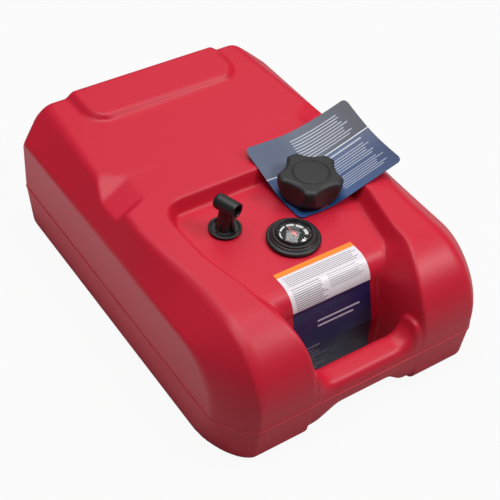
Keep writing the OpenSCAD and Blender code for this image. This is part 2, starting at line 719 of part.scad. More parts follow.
module gauge_rods() color([0.78, 0.78, 0.8]) at_gauge()
    for (s = [-1, 1]) translate([s * rod_x, 0, 0])
        disc(rod_r, rod_foot_z - 3, plug_z + 8);

module gauge_foot() color([0.12, 0.12, 0.12]) at_gauge() difference() {
    disc(16, foot_z, foot_z + foot_t);
    disc(shaft_r + pivot_gap, foot_z + 0.9, foot_z + foot_t + 1);
    for (s = [-1, 1]) translate([s * rod_x, 0, 0])
        disc(rod_r, rod_foot_z - 3, foot_z + foot_t + 1);
}

module gauge_float() color([0.2, 0.2, 0.21]) at_gauge() difference() {
    disc(float_d / 2, float_rest, float_rest + float_h);
    disc(strip_w / 2 + 1.6, float_rest - 1, float_rest + float_h + 1);
    for (s = [-1, 1]) translate([s * rod_x, 0, 0])
        disc(rod_r + 0.1, float_rest - 1, float_rest + float_h + 1);
}

// Slotted plate on the float: the strip turns as the slot climbs along it
module float_follower() color([0.85, 0.8, 0.6]) at_gauge() difference() {
    disc(8.5, float_rest + float_h, float_rest + float_h + follower_t);
    translate([0, 0, float_rest + float_h + follower_t / 2])
        cube([strip_w + 0.6, strip_t + 0.8, follower_t + 1], center = true);
}

// ---------------------------------------------------------------- fuel pick-up

elbow_r = elbow_d / 2;
pick_z = deck_h + 1.5;
outlet_z = deck_h + outlet_h;
barrel_r = barrel_d / 2;
barrel_back = 13;
barrel_front = 14;
dip_r = dip_d / 2;
screen_z = wall + 5;
screen_h = 22;

module elbow_gusset() rotate([90, 0, 0]) translate([0, 0, -1.2])
    linear_extrude(height = 2.4) polygon([[0, pick_z + 2], [elbow_r - 4, pick_z + 2],
        [elbow_r - 6, pick_z + 5], [8.6, outlet_z - 6], [0, outlet_z - 4]]);

module pickup_elbow() color([0.09, 0.09, 0.1]) at_pickup() rotate(outlet_turn) difference() {
    union() {
        rotate_extrude() polygon([[0, pick_z], [elbow_r - 1, pick_z], [elbow_r, pick_z + 1],
            [elbow_r, pick_z + 2.4], [elbow_r - 1, pick_z + 3.4], [9.6, pick_z + 3.8],
            [7.4, outlet_z - 4], [7.4, outlet_z], [0, outlet_z]]);
        for (a = [45:90:315]) rotate(a) elbow_gusset();
        translate([0, barrel_back, outlet_z]) rotate([90, 0, 0])
            cylinder(r = barrel_r, h = barrel_back + barrel_front);
        translate([0, barrel_back, outlet_z]) rotate([90, 0, 0])
            rotate_extrude() polygon(concat([[0, 0.5], [barrel_r, 0.5]],
                [for (i = [0:6]) let (a = 90 * i / 6) [barrel_r * cos(a), -3 * sin(a)]]));
        disc(pickup_port_r - 0.2, deck_h - 12, pick_z + 1);
    }
    translate([0, 4, outlet_z]) rotate([90, 0, 0])
        cylinder(r = outlet_d / 2, h = barrel_front + 5);
    disc(dip_r - 1.2, deck_h - 13, outlet_z);
    disc(dip_r, deck_h - 13, deck_h - 2);
}

module pickup_gasket() color([0.18, 0.18, 0.18]) at_pickup()
    ring(elbow_r - 1.5, pickup_port_r + 0.2, deck_h + 0.02, pick_z - 0.02);

module pickup_tube() color([0.9, 0.9, 0.88]) at_pickup()
    ring(dip_r, dip_r - 1.2, screen_z + 6, deck_h - 2);

module pickup_screen() color([0.75, 0.75, 0.7]) at_pickup() difference() {
    union() {
        disc(dip_r + 1.5, screen_z + 2, screen_z + screen_h);
        disc(dip_r + 3, screen_z, screen_z + 2 + eps);
    }
    disc(dip_r, screen_z + 6, screen_z + screen_h + 1);
    disc(dip_r - 1.2, screen_z - 1, screen_z + 7);
    for (a = [0:60:300]) rotate(a) translate([0, -0.8, screen_z - 1])
        cube([dip_r + 4, 1.6, 3.5]);
}

tank_shell();
front_label();
info_card();
cap_shell();
cap_core();
cap_gasket();
relief_poppet();
relief_spring();
relief_retainer();
vacuum_valve();
tether_pin();
tether_strap();
gauge_housing();
gauge_gasket();
gauge_bezel();
gauge_lens();
gauge_dial();
gauge_pointer();
gauge_strip();
gauge_rods();
gauge_foot();
gauge_float();
float_follower();
pickup_elbow();
pickup_gasket();
pickup_tube();
pickup_screen();
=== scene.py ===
"""Looks of a portable outboard fuel tank: a blow-moulded shell, its printed label and card,
the lobed filler cap, the float gauge and the pick-up elbow.

Shapes are worked out in millimetres in the part's own frame (+Z up, carrying bar to -Y) and
written to the meshes in metres.
"""
from __future__ import annotations

import logging
import math
from dataclasses import dataclass, replace
from enum import Enum
from typing import Sequence

import bmesh
import bpy
import numpy as np
from mathutils import Matrix, Vector


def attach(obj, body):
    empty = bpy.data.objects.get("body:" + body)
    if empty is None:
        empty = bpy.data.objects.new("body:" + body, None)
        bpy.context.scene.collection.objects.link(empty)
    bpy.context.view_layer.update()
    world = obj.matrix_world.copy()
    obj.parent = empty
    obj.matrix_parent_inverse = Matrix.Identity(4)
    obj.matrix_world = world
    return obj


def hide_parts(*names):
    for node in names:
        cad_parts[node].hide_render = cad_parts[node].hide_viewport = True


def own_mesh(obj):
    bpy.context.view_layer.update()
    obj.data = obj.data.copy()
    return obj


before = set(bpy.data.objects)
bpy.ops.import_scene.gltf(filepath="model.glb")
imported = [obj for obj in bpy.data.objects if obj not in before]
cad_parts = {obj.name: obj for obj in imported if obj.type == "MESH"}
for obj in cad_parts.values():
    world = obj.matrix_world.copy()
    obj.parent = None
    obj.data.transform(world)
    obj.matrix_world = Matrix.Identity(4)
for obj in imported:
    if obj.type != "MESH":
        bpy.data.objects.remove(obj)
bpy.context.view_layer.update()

LOG = logging.getLogger("fuel_tank")
MM = 0.001
RIGHT_ANGLE = np.pi / 2.0
FULL_TURN = 2.0 * np.pi
Array = np.ndarray
Number = float | Array
Colour = tuple[float, float, float, float]
Socket = bpy.types.NodeSocket


# ------------------------------------------------------------------ numbers


def mix(a: Number, b: Number, t: Number) -> Number:
    """Straight blend from a to b.

    Args:
        a: Value at t = 0.
        b: Value at t = 1.
        t: Share of b, a number or an array.

    Returns:
        a + (b - a) * t.
    """
    return a + (b - a) * t


def ease(t: Number) -> Number:
    """Smooth step: 3t^2 - 2t^3 with t held between 0 and 1.

    Args:
        t: Position, a number or an array.

    Returns:
        The eased position.
    """
    c = np.clip(t, 0.0, 1.0)
    return c * c * (3.0 - 2.0 * c)


def round_off(d: Number, r: float) -> Number:
    """Height lost to a quarter round of radius r at distance d from its edge.

    Args:
        d: Distance from the edge.
        r: Radius of the round.

    Returns:
        r - sqrt(r^2 - (r - d)^2) inside the round, 0 past it.
    """
    inside = np.clip(r - np.asarray(d, dtype=float), 0.0, r)
    return r - np.sqrt(r * r - inside * inside)


def soft_min(a: Number, b: Number, r: float) -> Number:
    """Lower of two heights with a soft corner of size r.

    Args:
        a: First height.
        b: Second height.
        r: Size of the soft corner.

    Returns:
        min(a, b), lowered by a parabola where the two are closer than r.
    """
    near = np.clip(r - np.abs(a - b), 0.0, r)
    return np.minimum(a, b) - near * near / (4.0 * r)


def soft_max(a: Number, b: Number, r: float) -> Number:
    """Higher of two heights with a soft corner of size r.

    Args:
        a: First height.
        b: Second height.
        r: Size of the soft corner.

    Returns:
        max(a, b), raised by a parabola where the two are closer than r.
    """
    return -soft_min(-a, -b, r)


def rounded(points: Sequence[Sequence[float]], radii: Sequence[float], steps: int = 6) -> Array:
    """Outline with its corners turned to arcs.

    Each corner is replaced by a quadratic arc that starts and ends at the given distance from
    it along its two edges.

    Args:
        points: Corners of an open outline, (n, 2).
        radii: Distance to keep off each corner, 0 for a sharp one.
        steps: Segments in each arc.

    Returns:
        The outline's points, (m, 2).
    """
    pts = np.asarray(points, dtype=float)
    out = [pts[:1]]
    t = np.linspace(0.0, 1.0, steps + 1)[:, None]
    for before, corner, after, r in zip(pts[:-2], pts[1:-1], pts[2:], radii[1:-1]):
        if r <= 0.0:
            out.append(corner[None, :])
            continue
        u = before - corner
        v = after - corner
        lu = float(np.linalg.norm(u))
        lv = float(np.linalg.norm(v))
        a = corner + u / lu * min(r, 0.49 * lu)
        b = corner + v / lv * min(r, 0.49 * lv)
        out.append((1 - t) ** 2 * a + 2 * (1 - t) * t * corner + t * t * b)
    out.append(pts[-1:])
    return np.concatenate(out)


# ------------------------------------------------------------------ meshes


def mesh_from_grid(name: str, points: Array, wrap_u: bool = False, wrap_v: bool = False,
                   uv: Array | None = None) -> bpy.types.Mesh:
    """Mesh of quads over a grid of points.

    Args:
        name: Name of the mesh.
        points: Grid of places in millimetres, (n, m, 3).
        wrap_u: Whether the last row joins the first.
        wrap_v: Whether the last column joins the first.
        uv: Texture places of the grid's points, (n, m, 2), or None.

    Returns:
        The mesh, in metres.
    """
    n, m = points.shape[:2]
    rows = np.arange(n if wrap_u else n - 1)
    cols = np.arange(m if wrap_v else m - 1)
    i, j = np.meshgrid(rows, cols, indexing="ij")
    i2 = (i + 1) % n
    j2 = (j + 1) % m
    faces = np.stack([i * m + j, i2 * m + j, i2 * m + j2, i * m + j2], axis=-1).reshape(-1, 4)
    mesh = bpy.data.meshes.new(name)
    mesh.vertices.add(n * m)
    mesh.vertices.foreach_set("co", (points.reshape(-1, 3) * MM).astype(np.float32).ravel())
    mesh.loops.add(faces.size)
    mesh.loops.foreach_set("vertex_index", faces.ravel().astype(np.int32))
    mesh.polygons.add(len(faces))
    mesh.polygons.foreach_set("loop_start", np.arange(0, faces.size, 4, dtype=np.int32))
    mesh.update(calc_edges=True)
    if uv is not None:
        layer = mesh.uv_layers.new(name="UVMap")
        layer.data.foreach_set("uv", uv.reshape(-1, 2)[faces.ravel()].astype(np.float32).ravel())
    return mesh


def closed_grid(points: Array) -> Array:
    """Tube of rings closed by a centre point at each end.

    Args:
        points: Rings of places, (n, m, 3), each ring a closed loop.

    Returns:
        The rings with a ring at either end drawn in to its own centre, (n + 2, m, 3).
    """
    first = np.repeat(points[:1].mean(axis=1, keepdims=True), points.shape[1], axis=1)
    last = np.repeat(points[-1:].mean(axis=1, keepdims=True), points.shape[1], axis=1)
    return np.concatenate([first, points, last])


def merge_and_point_out(mesh: bpy.types.Mesh, distance: float = 1e-6) -> None:
    """Merge doubled points, drop empty faces and turn every face outwards.

    Args:
        mesh: Mesh to clean.
        distance: Distance under which points are one, in metres.
    """
    work = bmesh.new()
    work.from_mesh(mesh)
    bmesh.ops.remove_doubles(work, verts=work.verts, dist=distance)
    bmesh.ops.dissolve_degenerate(work, edges=work.edges, dist=distance)
    bmesh.ops.recalc_face_normals(work, faces=work.faces)
    work.to_mesh(mesh)
    work.free()


def add_object(name: str, mesh: bpy.types.Mesh, smooth_angle: float = 35.0) -> bpy.types.Object:
    """Object for a mesh, shaded smooth under an angle.

    Args:
        name: Name of the object.
        mesh: Its mesh.
        smooth_angle: Edges sharper than this, in degrees, stay sharp.

    Returns:
        The new object, linked to the scene.
    """
    mesh.polygons.foreach_set("use_smooth", np.ones(len(mesh.polygons), dtype=bool))
    mesh.set_sharp_from_angle(angle=math.radians(smooth_angle))
    obj = bpy.data.objects.new(name, mesh)
    bpy.context.scene.collection.objects.link(obj)
    return obj


def apply_modifiers(obj: bpy.types.Object) -> None:
    """Bake an object's modifiers into its mesh.

    Args:
        obj: Object whose modifiers are applied.
    """
    graph = bpy.context.evaluated_depsgraph_get()
    graph.update()
    baked = bpy.data.meshes.new_from_object(obj.evaluated_get(graph))
    obj.modifiers.clear()
    old = obj.data
    obj.data = baked
    bpy.data.meshes.remove(old)


def combine(obj: bpy.types.Object, others: Sequence[bpy.types.Object], how: str) -> None:
    """Union or difference of closed meshes, applied to the first.

    Args:
        obj: Object that is changed.
        others: Closed objects that are added or cut away, and then removed.
        how: UNION or DIFFERENCE.
    """
    for other in others:
        step = obj.modifiers.new(how.lower(), "BOOLEAN")
        step.operation = how
        step.solver = "MANIFOLD"
        step.object = other
    apply_modifiers(obj)
    for other in others:
        old = other.data
        bpy.data.objects.remove(other)
        bpy.data.meshes.remove(old)


def lathe(name: str, outline: Array, centre: Sequence[float], sides: int = 128) -> bpy.types.Mesh:
    """Solid of revolution: an outline of (radius, height) carried round a vertical axis.

    Args:
        name: Name of the mesh.
        outline: Outline in millimetres, (n, 2). An open outline starts and ends on the axis.
        centre: Place of the axis, (x, y), in millimetres.
        sides: Steps round the axis.

    Returns:
        The mesh, closed and pointing out.
    """
    turn = np.linspace(0.0, FULL_TURN, sides, endpoint=False)
    r = outline[:, 0][:, None]
    x = centre[0] + r * np.cos(turn)[None, :]
    y = centre[1] + r * np.sin(turn)[None, :]
    z = np.repeat(outline[:, 1][:, None], sides, axis=1)
    closed = bool(outline[0, 0] > 1e-6)
    mesh = mesh_from_grid(name, np.stack([x, y, z], axis=-1), wrap_u=closed, wrap_v=True)
    merge_and_point_out(mesh)
    return mesh


# ------------------------------------------------------------------ shared shader groups


class Shader:
    """Small helper that adds nodes to one node tree and wires them."""

    def __init__(self, tree: bpy.types.NodeTree) -> None:
        """Keep the tree that nodes are added to."""
        self.tree = tree

    def node(self, kind: str, inputs: dict | None = None, **settings: object) -> bpy.types.Node:
        """Add one node.

        Args:
            kind: Blender's name of the node type.
            inputs: Socket name or index to a value or to another node's output.
            settings: Attributes of the node.

        Returns:
            The node.
        """
        made = self.tree.nodes.new(kind)
        for key, value in settings.items():
            setattr(made, key, value)
        self.feed(made, inputs or {})
        return made

    def feed(self, made: bpy.types.Node, inputs: dict) -> None:
        """Fill a node's inputs.

        Args:
            made: Node that is already there.
            inputs: Socket name or index to a value or to another node's output.
        """
        for key, value in inputs.items():
            if isinstance(value, Socket):
                self.tree.links.new(value, made.inputs[key])
            else:
                made.inputs[key].default_value = value

    def math(self, operation: str, a: float | Socket, b: float | Socket = 0.0,
             c: float | Socket = 0.0) -> Socket:
        """Add a Math node.

        Args:
            operation: Its operation.
            a: First value or socket.
            b: Second value or socket.
            c: Third value or socket.

        Returns:
            The result's socket.
        """
        return self.node("ShaderNodeMath", {0: a, 1: b, 2: c}, operation=operation).outputs[0]

    def blend(self, factor: float | Socket, a: Colour | Socket, b: Colour | Socket) -> Socket:
        """Add a colour mix.

        Args:
            factor: Share of b, a value or a socket.
            a: First colour or socket.
            b: Second colour or socket.

        Returns:
            The mixed colour's socket.
        """
        inputs = {0: factor, 6: a, 7: b}
        return self.node("ShaderNodeMix", inputs, data_type="RGBA").outputs[2]

    def remap(self, value: Socket, low: float, high: float, to_low: float = 0.0,
              to_high: float = 1.0) -> Socket:
        """Add a Map Range node.

        Args:
            value: Socket to remap.
            low: Value that gives to_low.
            high: Value that gives to_high.
            to_low: Result at low.
            to_high: Result at high.

        Returns:
            The result's socket.
        """
        made = self.node("ShaderNodeMapRange", {0: value, 1: low, 2: high, 3: to_low, 4: to_high})
        return made.outputs[0]

    def object_place(self) -> Socket:
        """Place in the object's own coordinates."""
        return self.node("ShaderNodeTexCoord").outputs["Object"]

    def print_place(self) -> tuple[Socket, Socket]:
        """Place on the piece's own UV map, across and along."""
        uv = self.node("ShaderNodeSeparateXYZ", {0: self.node("ShaderNodeUVMap").outputs[0]})
        return uv.outputs[0], uv.outputs[1]

    def show(self, surface: Socket) -> None:
        """Put another shader on the material's output.

        Args:
            surface: The shader's socket.
        """
        out = next(n for n in self.tree.nodes if n.type == "OUTPUT_MATERIAL")
        self.tree.links.new(surface, out.inputs[0])


def new_group(name: str, inputs: dict[str, tuple[str, float]],
              outputs: dict[str, str]) -> tuple[bpy.types.NodeTree, Shader]:
    """Empty shader group with its sockets.

    Args:
        name: Name of the group.
        inputs: Input name to (socket type, default).
        outputs: Output name to socket type.

    Returns:
        The group and a helper on it.
    """
    group = bpy.data.node_groups.new(name, "ShaderNodeTree")
    for key, (kind, default) in inputs.items():
        socket = group.interface.new_socket(name=key, in_out="INPUT", socket_type=kind)
        if default is not None:
            socket.default_value = default
    for key, kind in outputs.items():
        group.interface.new_socket(name=key, in_out="OUTPUT", socket_type=kind)
    return group, Shader(group)


class Groups:
    """Shader groups that several finishes share, built once."""

    def __init__(self) -> None:
        """Build every group."""
        self.grain = self._grain()
        self.handling = self._handling()
        self.rules = self._rules()

    @staticmethod
    def _grain() -> bpy.types.NodeTree:
        """Fine leather grain of a blasted mould: rounded cells with finer noise between.

        Returns:
            The group, with Size and Depth in, and Tone and Normal out.
        """
        group, s = new_group("moulded_grain", {
            "Size": ("NodeSocketFloat", 0.0012),
            "Depth": ("NodeSocketFloat", 0.3)}, {
            "Tone": "NodeSocketFloat", "Normal": "NodeSocketVector"})
        into = s.node("NodeGroupInput")
        place = s.object_place()
        scale = s.math("DIVIDE", 1.0, into.outputs["Size"])
        cells = s.node("ShaderNodeTexVoronoi", {"Vector": place, "Scale": scale},
                       feature="SMOOTH_F1")
        fine = s.node("ShaderNodeTexNoise", {
            "Vector": place, "Scale": s.math("MULTIPLY", scale, 0.7), "Detail": 3.0,
            "Roughness": 0.6})
        height = s.math("MULTIPLY_ADD", cells.outputs["Distance"], 0.8,
                        s.math("MULTIPLY", fine.outputs["Fac"], 0.5))
        bump = s.node("ShaderNodeBump", {
            "Height": height, "Strength": into.outputs["Depth"], "Distance": 0.0004})
        s.node("NodeGroupOutput", {
            "Tone": fine.outputs["Fac"], "Normal": bump.outputs["Normal"]})
        return group

    @staticmethod
    def _handling() -> bpy.types.NodeTree:
        """Marks of handling: broad cloudy dulling and a few fine scuffs.

        Returns:
            The group, with Scale and Amount in, and Dull and Scuff out.
        """
        group, s = new_group("handling", {
            "Scale": ("NodeSocketFloat", 9.0),
            "Amount": ("NodeSocketFloat", 0.5)}, {
            "Dull": "NodeSocketFloat", "Scuff": "NodeSocketFloat"})
        into = s.node("NodeGroupInput")
        place = s.object_place()
        cloud = s.node("ShaderNodeTexNoise", {
            "Vector": place, "Scale": into.outputs["Scale"], "Detail": 5.0, "Roughness": 0.62,
            "Distortion": 0.4})
        stretched = s.node("ShaderNodeMapping", {
            "Vector": place, "Rotation": (0.3, 0.2, 0.9), "Scale": (1.0, 14.0, 1.0)})
        streak = s.node("ShaderNodeTexNoise", {
            "Vector": stretched.outputs[0], "Scale": s.math("MULTIPLY", into.outputs["Scale"], 7.0),
            "Detail": 2.0})
        scuff = s.remap(streak.outputs["Fac"], 0.66, 0.74)
        masked = s.math("MULTIPLY", scuff, s.remap(cloud.outputs["Fac"], 0.5, 0.62))
        s.node("NodeGroupOutput", {
            "Dull": s.math("MULTIPLY", cloud.outputs["Fac"], into.outputs["Amount"]),
            "Scuff": s.math("MULTIPLY", masked, into.outputs["Amount"])})
        return group

    @staticmethod
    def _rules() -> bpy.types.NodeTree:
        """Block of plain thin rules: lines across a box on a printed sheet, ragged at the end.

        The mask is 1 where V lies in a rule and U lies between Left and an end that noise
        shortens line by line.

        Returns:
            The group, with U, V and the block's edges in, and Mask out.
        """
        names = {"U": 0.0, "V": 0.0, "Left": 0.1, "Right": 0.9, "Low": 0.1, "High": 0.9,
                 "Lines": 6.0, "Weight": 0.4, "Ragged": 0.15}
        group, s = new_group("plain_rules", {
            key: ("NodeSocketFloat", value) for key, value in names.items()},
            {"Mask": "NodeSocketFloat"})
        into = s.node("NodeGroupInput").outputs
        span = s.math("SUBTRACT", into["High"], into["Low"])
        along = s.math("DIVIDE", s.math("SUBTRACT", into["V"], into["Low"]), span)
        counted = s.math("MULTIPLY", along, into["Lines"])
        line = s.math("FLOOR", counted)
        within = s.math("LESS_THAN", s.math("FRACT", counted), into["Weight"])
        noise = s.node("ShaderNodeTexWhiteNoise", {"W": line}, noise_dimensions="1D")
        end = s.math("SUBTRACT", into["Right"], s.math("MULTIPLY", noise.outputs["Value"],
                                                       into["Ragged"]))
        mask = s.math("MULTIPLY", within, s.math("GREATER_THAN", into["U"], into["Left"]))
        mask = s.math("MULTIPLY", mask, s.math("LESS_THAN", into["U"], end))
        mask = s.math("MULTIPLY", mask, s.math("GREATER_THAN", along, 0.0))
        mask = s.math("MULTIPLY", mask, s.math("LESS_THAN", along, 1.0))
        s.node("NodeGroupOutput", {"Mask": mask})
        return group


# ------------------------------------------------------------------ finishes


def srgb(red: int, green: int, blue: int) -> Colour:
    """Linear colour of a screen colour.

    Args:
        red: 0 to 255.
        green: 0 to 255.
        blue: 0 to 255.

    Returns:
        The colour as red, green, blue and 1.
    """
    part = [c / 255.0 for c in (red, green, blue)]
    return (*[c / 12.92 if c <= 0.04045 else ((c + 0.055) / 1.055) ** 2.4 for c in part], 1.0)


def new_material(name: str) -> tuple[bpy.types.Material, Shader, bpy.types.Node]:
    """Material with its Principled shader wired to the output.

    Args:
        name: Name of the material.

    Returns:
        The material, a helper on its tree and the Principled node.
    """
    made = bpy.data.materials.new(name)
    made.use_nodes = True
    made.node_tree.nodes.clear()
    s = Shader(made.node_tree)
    body = s.node("ShaderNodeBsdfPrincipled")
    s.node("ShaderNodeOutputMaterial", {"Surface": body.outputs[0]})
    return made, s, body


@dataclass(frozen=True)
class MouldedPlastic:
    """Plastic from a blasted or polished mould, with grain and the marks of handling."""

    name: str
    colour: Colour
    worn: Colour
    rough: float = 0.45
    rough_spread: float = 0.12
    scuff_rough: float = 0.1
    cloudiness: float = 0.35
    worn_share: float = 0.5
    grain_size: float = 0.0011
    grain_depth: float = 0.25
    wear: float = 0.4
    specular: float = 0.5

    def build(self, groups: Groups) -> bpy.types.Material:
        """Make the material.

        Args:
            groups: Shared shader groups.

        Returns:
            The material.
        """
        made, s, body = new_material(self.name)
        grain = s.node("ShaderNodeGroup", {"Size": self.grain_size, "Depth": self.grain_depth},
                       node_tree=groups.grain)
        marks = s.node("ShaderNodeGroup", {"Amount": self.wear}, node_tree=groups.handling)
        dull = marks.outputs["Dull"]
        scuff = marks.outputs["Scuff"]
        tone = s.remap(grain.outputs["Tone"], 0.3, 0.7, 0.0, self.cloudiness)
        cloud = s.math("MULTIPLY_ADD", dull, self.cloudiness, tone)
        base = s.blend(s.math("MULTIPLY", cloud, self.worn_share), self.colour, self.worn)
        base = s.blend(s.math("MULTIPLY", scuff, self.worn_share), base, self.worn)
        rough = s.math("MULTIPLY_ADD", dull, self.rough_spread, self.rough)
        rough = s.math("MULTIPLY_ADD", scuff, self.scuff_rough, rough)
        s.feed(body, {"Base Color": base, "Roughness": rough, "Normal": grain.outputs["Normal"],
                      "Specular IOR Level": self.specular})
        return made


@dataclass(frozen=True)
class DrawnSteel:
    """Steel with fine drawing lines along its length."""

    name: str
    colour: Colour = srgb(190, 190, 194)
    dulled: Colour = srgb(150, 150, 155)
    rough: float = 0.3
    rough_spread: float = 0.2
    lines_per_m: tuple[float, float, float] = (900.0, 900.0, 20.0)

    def build(self, groups: Groups) -> bpy.types.Material:
        """Make the material.

        Args:
            groups: Shared shader groups.

        Returns:
            The material.
        """
        made, s, body = new_material(self.name)
        marks = s.node("ShaderNodeGroup", {"Scale": 60.0}, node_tree=groups.handling)
        drawn = s.node("ShaderNodeMapping", {"Vector": s.object_place(),
                                             "Scale": self.lines_per_m})
        lines = s.node("ShaderNodeTexNoise", {"Vector": drawn.outputs[0], "Scale": 1.0})
        rough = s.math("MULTIPLY_ADD", lines.outputs["Fac"], self.rough_spread, self.rough)
        bump = s.node("ShaderNodeBump", {
            "Height": lines.outputs["Fac"], "Strength": 0.1, "Distance": 0.0001})
        base = s.blend(marks.outputs["Dull"], self.colour, self.dulled)
        s.feed(body, {"Base Color": base, "Roughness": rough, "Normal": bump.outputs["Normal"],
                      "Metallic": 1.0})
        return made


@dataclass(frozen=True)
class ClearPlastic:
    """Polished clear plastic of the gauge's window.

    It is glass to the camera and lets the lamps' light straight through to the dial.
    """

    name: str = "clear_window"
    colour: Colour = (0.98, 0.99, 1.0, 1.0)
    rough: float = 0.02
    scuff_rough: float = 0.12
    ior: float = 1.49

    def build(self, groups: Groups) -> bpy.types.Material:
        """Make the material.

        Args:
            groups: Shared shader groups.

        Returns:
            The material.
        """
        made, s, body = new_material(self.name)
        marks = s.node("ShaderNodeGroup", {"Scale": 40.0}, node_tree=groups.handling)
        rough = s.math("MULTIPLY_ADD", marks.outputs["Scuff"], self.scuff_rough, self.rough)
        s.feed(body, {"Roughness": rough, "Base Color": self.colour, "Transmission Weight": 1.0,
                      "IOR": self.ior})
        path = s.node("ShaderNodeLightPath")
        seen = s.math("MAXIMUM", path.outputs["Is Camera Ray"],
                      path.outputs["Is Transmission Ray"])
        clear = s.node("ShaderNodeBsdfTransparent")
        both = s.node("ShaderNodeMixShader", {0: seen, 1: clear.outputs[0], 2: body.outputs[0]})
        s.show(both.outputs[0])
        return made


@dataclass(frozen=True)
class RuleBlock:
    """Block of plain rules on a printed sheet, with its edges in the sheet's own U and V."""

    left: float
    right: float
    low: float
    high: float
    lines: float
    weight: float
    ragged: float
    ink: Colour

    def over(self, s: Shader, groups: Groups, place: tuple[Socket, Socket], colour: Socket,
             strength: float) -> Socket:
        """Print the block over a colour.

        Args:
            s: Helper on the material's tree.
            groups: Shared shader groups.
            place: U and V.
            colour: Colour below the rules.
            strength: Share of the ink in a rule.

        Returns:
            The printed colour's socket.
        """
        rules = s.node("ShaderNodeGroup", {
            "U": place[0], "V": place[1], "Left": self.left, "Right": self.right,
            "Low": self.low, "High": self.high, "Lines": self.lines, "Weight": self.weight,
            "Ragged": self.ragged}, node_tree=groups.rules)
        return s.blend(s.math("MULTIPLY", rules.outputs["Mask"], strength), colour, self.ink)


@dataclass(frozen=True)
class PrintedSheet:
    """What the label and the card share: rules over a ground, and a coated surface.

    U runs across the sheet and V from its front edge or foot (0) to its back edge (1).
    """

    name: str
    rough: float
    grain_size: float
    rule_strength: float
    blocks: tuple[RuleBlock, ...]
    rough_spread: float = 0.15
    grain_depth: float = 0.05

    def ground(self, s: Shader, u: Socket, v: Socket) -> Socket:
        """Colour below the rules, made by each sheet.

        Args:
            s: Helper on the material's tree.
            u: Place across.
            v: Place along.

        Returns:
            The colour's socket.
        """
        raise NotImplementedError

    def build(self, groups: Groups) -> bpy.types.Material:
        """Make the material.

        Args:
            groups: Shared shader groups.

        Returns:
            The material.
        """
        made, s, body = new_material(self.name)
        place = s.print_place()
        colour = self.ground(s, *place)
        for block in self.blocks:
            colour = block.over(s, groups, place, colour, self.rule_strength)
        grain = s.node("ShaderNodeGroup", {"Size": self.grain_size, "Depth": self.grain_depth},
                       node_tree=groups.grain)
        marks = s.node("ShaderNodeGroup", node_tree=groups.handling)
        rough = s.math("MULTIPLY_ADD", marks.outputs["Dull"], self.rough_spread, self.rough)
        s.feed(body, {"Base Color": colour, "Roughness": rough,
                      "Normal": grain.outputs["Normal"]})
        return made


@dataclass(frozen=True)
class FrontPrint(PrintedSheet):
    """Film on the deck's front: an orange band, a white field, navy and a blue-grey foot."""

    name: str = "front_print"
    rough: float = 0.28
    grain_size: float = 0.0015
    rule_strength: float = 0.85
    blocks: tuple[RuleBlock, ...] = (
        RuleBlock(0.05, 0.97, 0.855, 0.945, 6.0, 0.34, 0.08, srgb(96, 92, 104)),
        RuleBlock(0.05, 0.46, 0.675, 0.84, 11.0, 0.38, 0.08, srgb(84, 80, 92)),
        RuleBlock(0.50, 0.95, 0.74, 0.84, 7.0, 0.32, 0.08, srgb(120, 116, 128)),
        RuleBlock(0.30, 0.88, 0.47, 0.55, 2.0, 0.34, 0.2, srgb(216, 218, 230)),
        RuleBlock(0.08, 0.42, 0.08, 0.36, 8.0, 0.16, 0.20, srgb(176, 182, 196)))
    orange_from: float = 0.957
    white_from: float = 0.665
    navy_from: float = 0.5
    foot_to: float = 0.16

    def ground(self, s: Shader, u: Socket, v: Socket) -> Socket:
        """Bands of colour along V, with soft waves in the foot.

        Args:
            s: Helper on the material's tree.
            u: Place across, which the bands don't need.
            v: Place along.

        Returns:
            The colour's socket.
        """
        stretched = s.node("ShaderNodeMapping", {
            "Vector": s.node("ShaderNodeUVMap").outputs[0], "Scale": (2.2, 7.0, 1.0)})
        wave = s.node("ShaderNodeTexNoise", {
            "Vector": stretched.outputs[0], "Scale": 1.6, "Detail": 3.0})
        foot = s.blend(s.remap(v, self.foot_to, self.navy_from), srgb(70, 82, 98),
                       srgb(22, 38, 88))
        foot = s.blend(s.remap(wave.outputs["Fac"], 0.5, 0.56, 0.0, 0.5), foot, srgb(36, 48, 84))
        colour = foot
        for start, band in ((self.navy_from, srgb(18, 32, 84)),
                            (self.white_from, srgb(232, 226, 232)),
                            (self.orange_from, srgb(255, 138, 30))):
            colour = s.blend(s.math("GREATER_THAN", v, start), colour, band)
        return colour


CARD_INK = srgb(214, 220, 232)


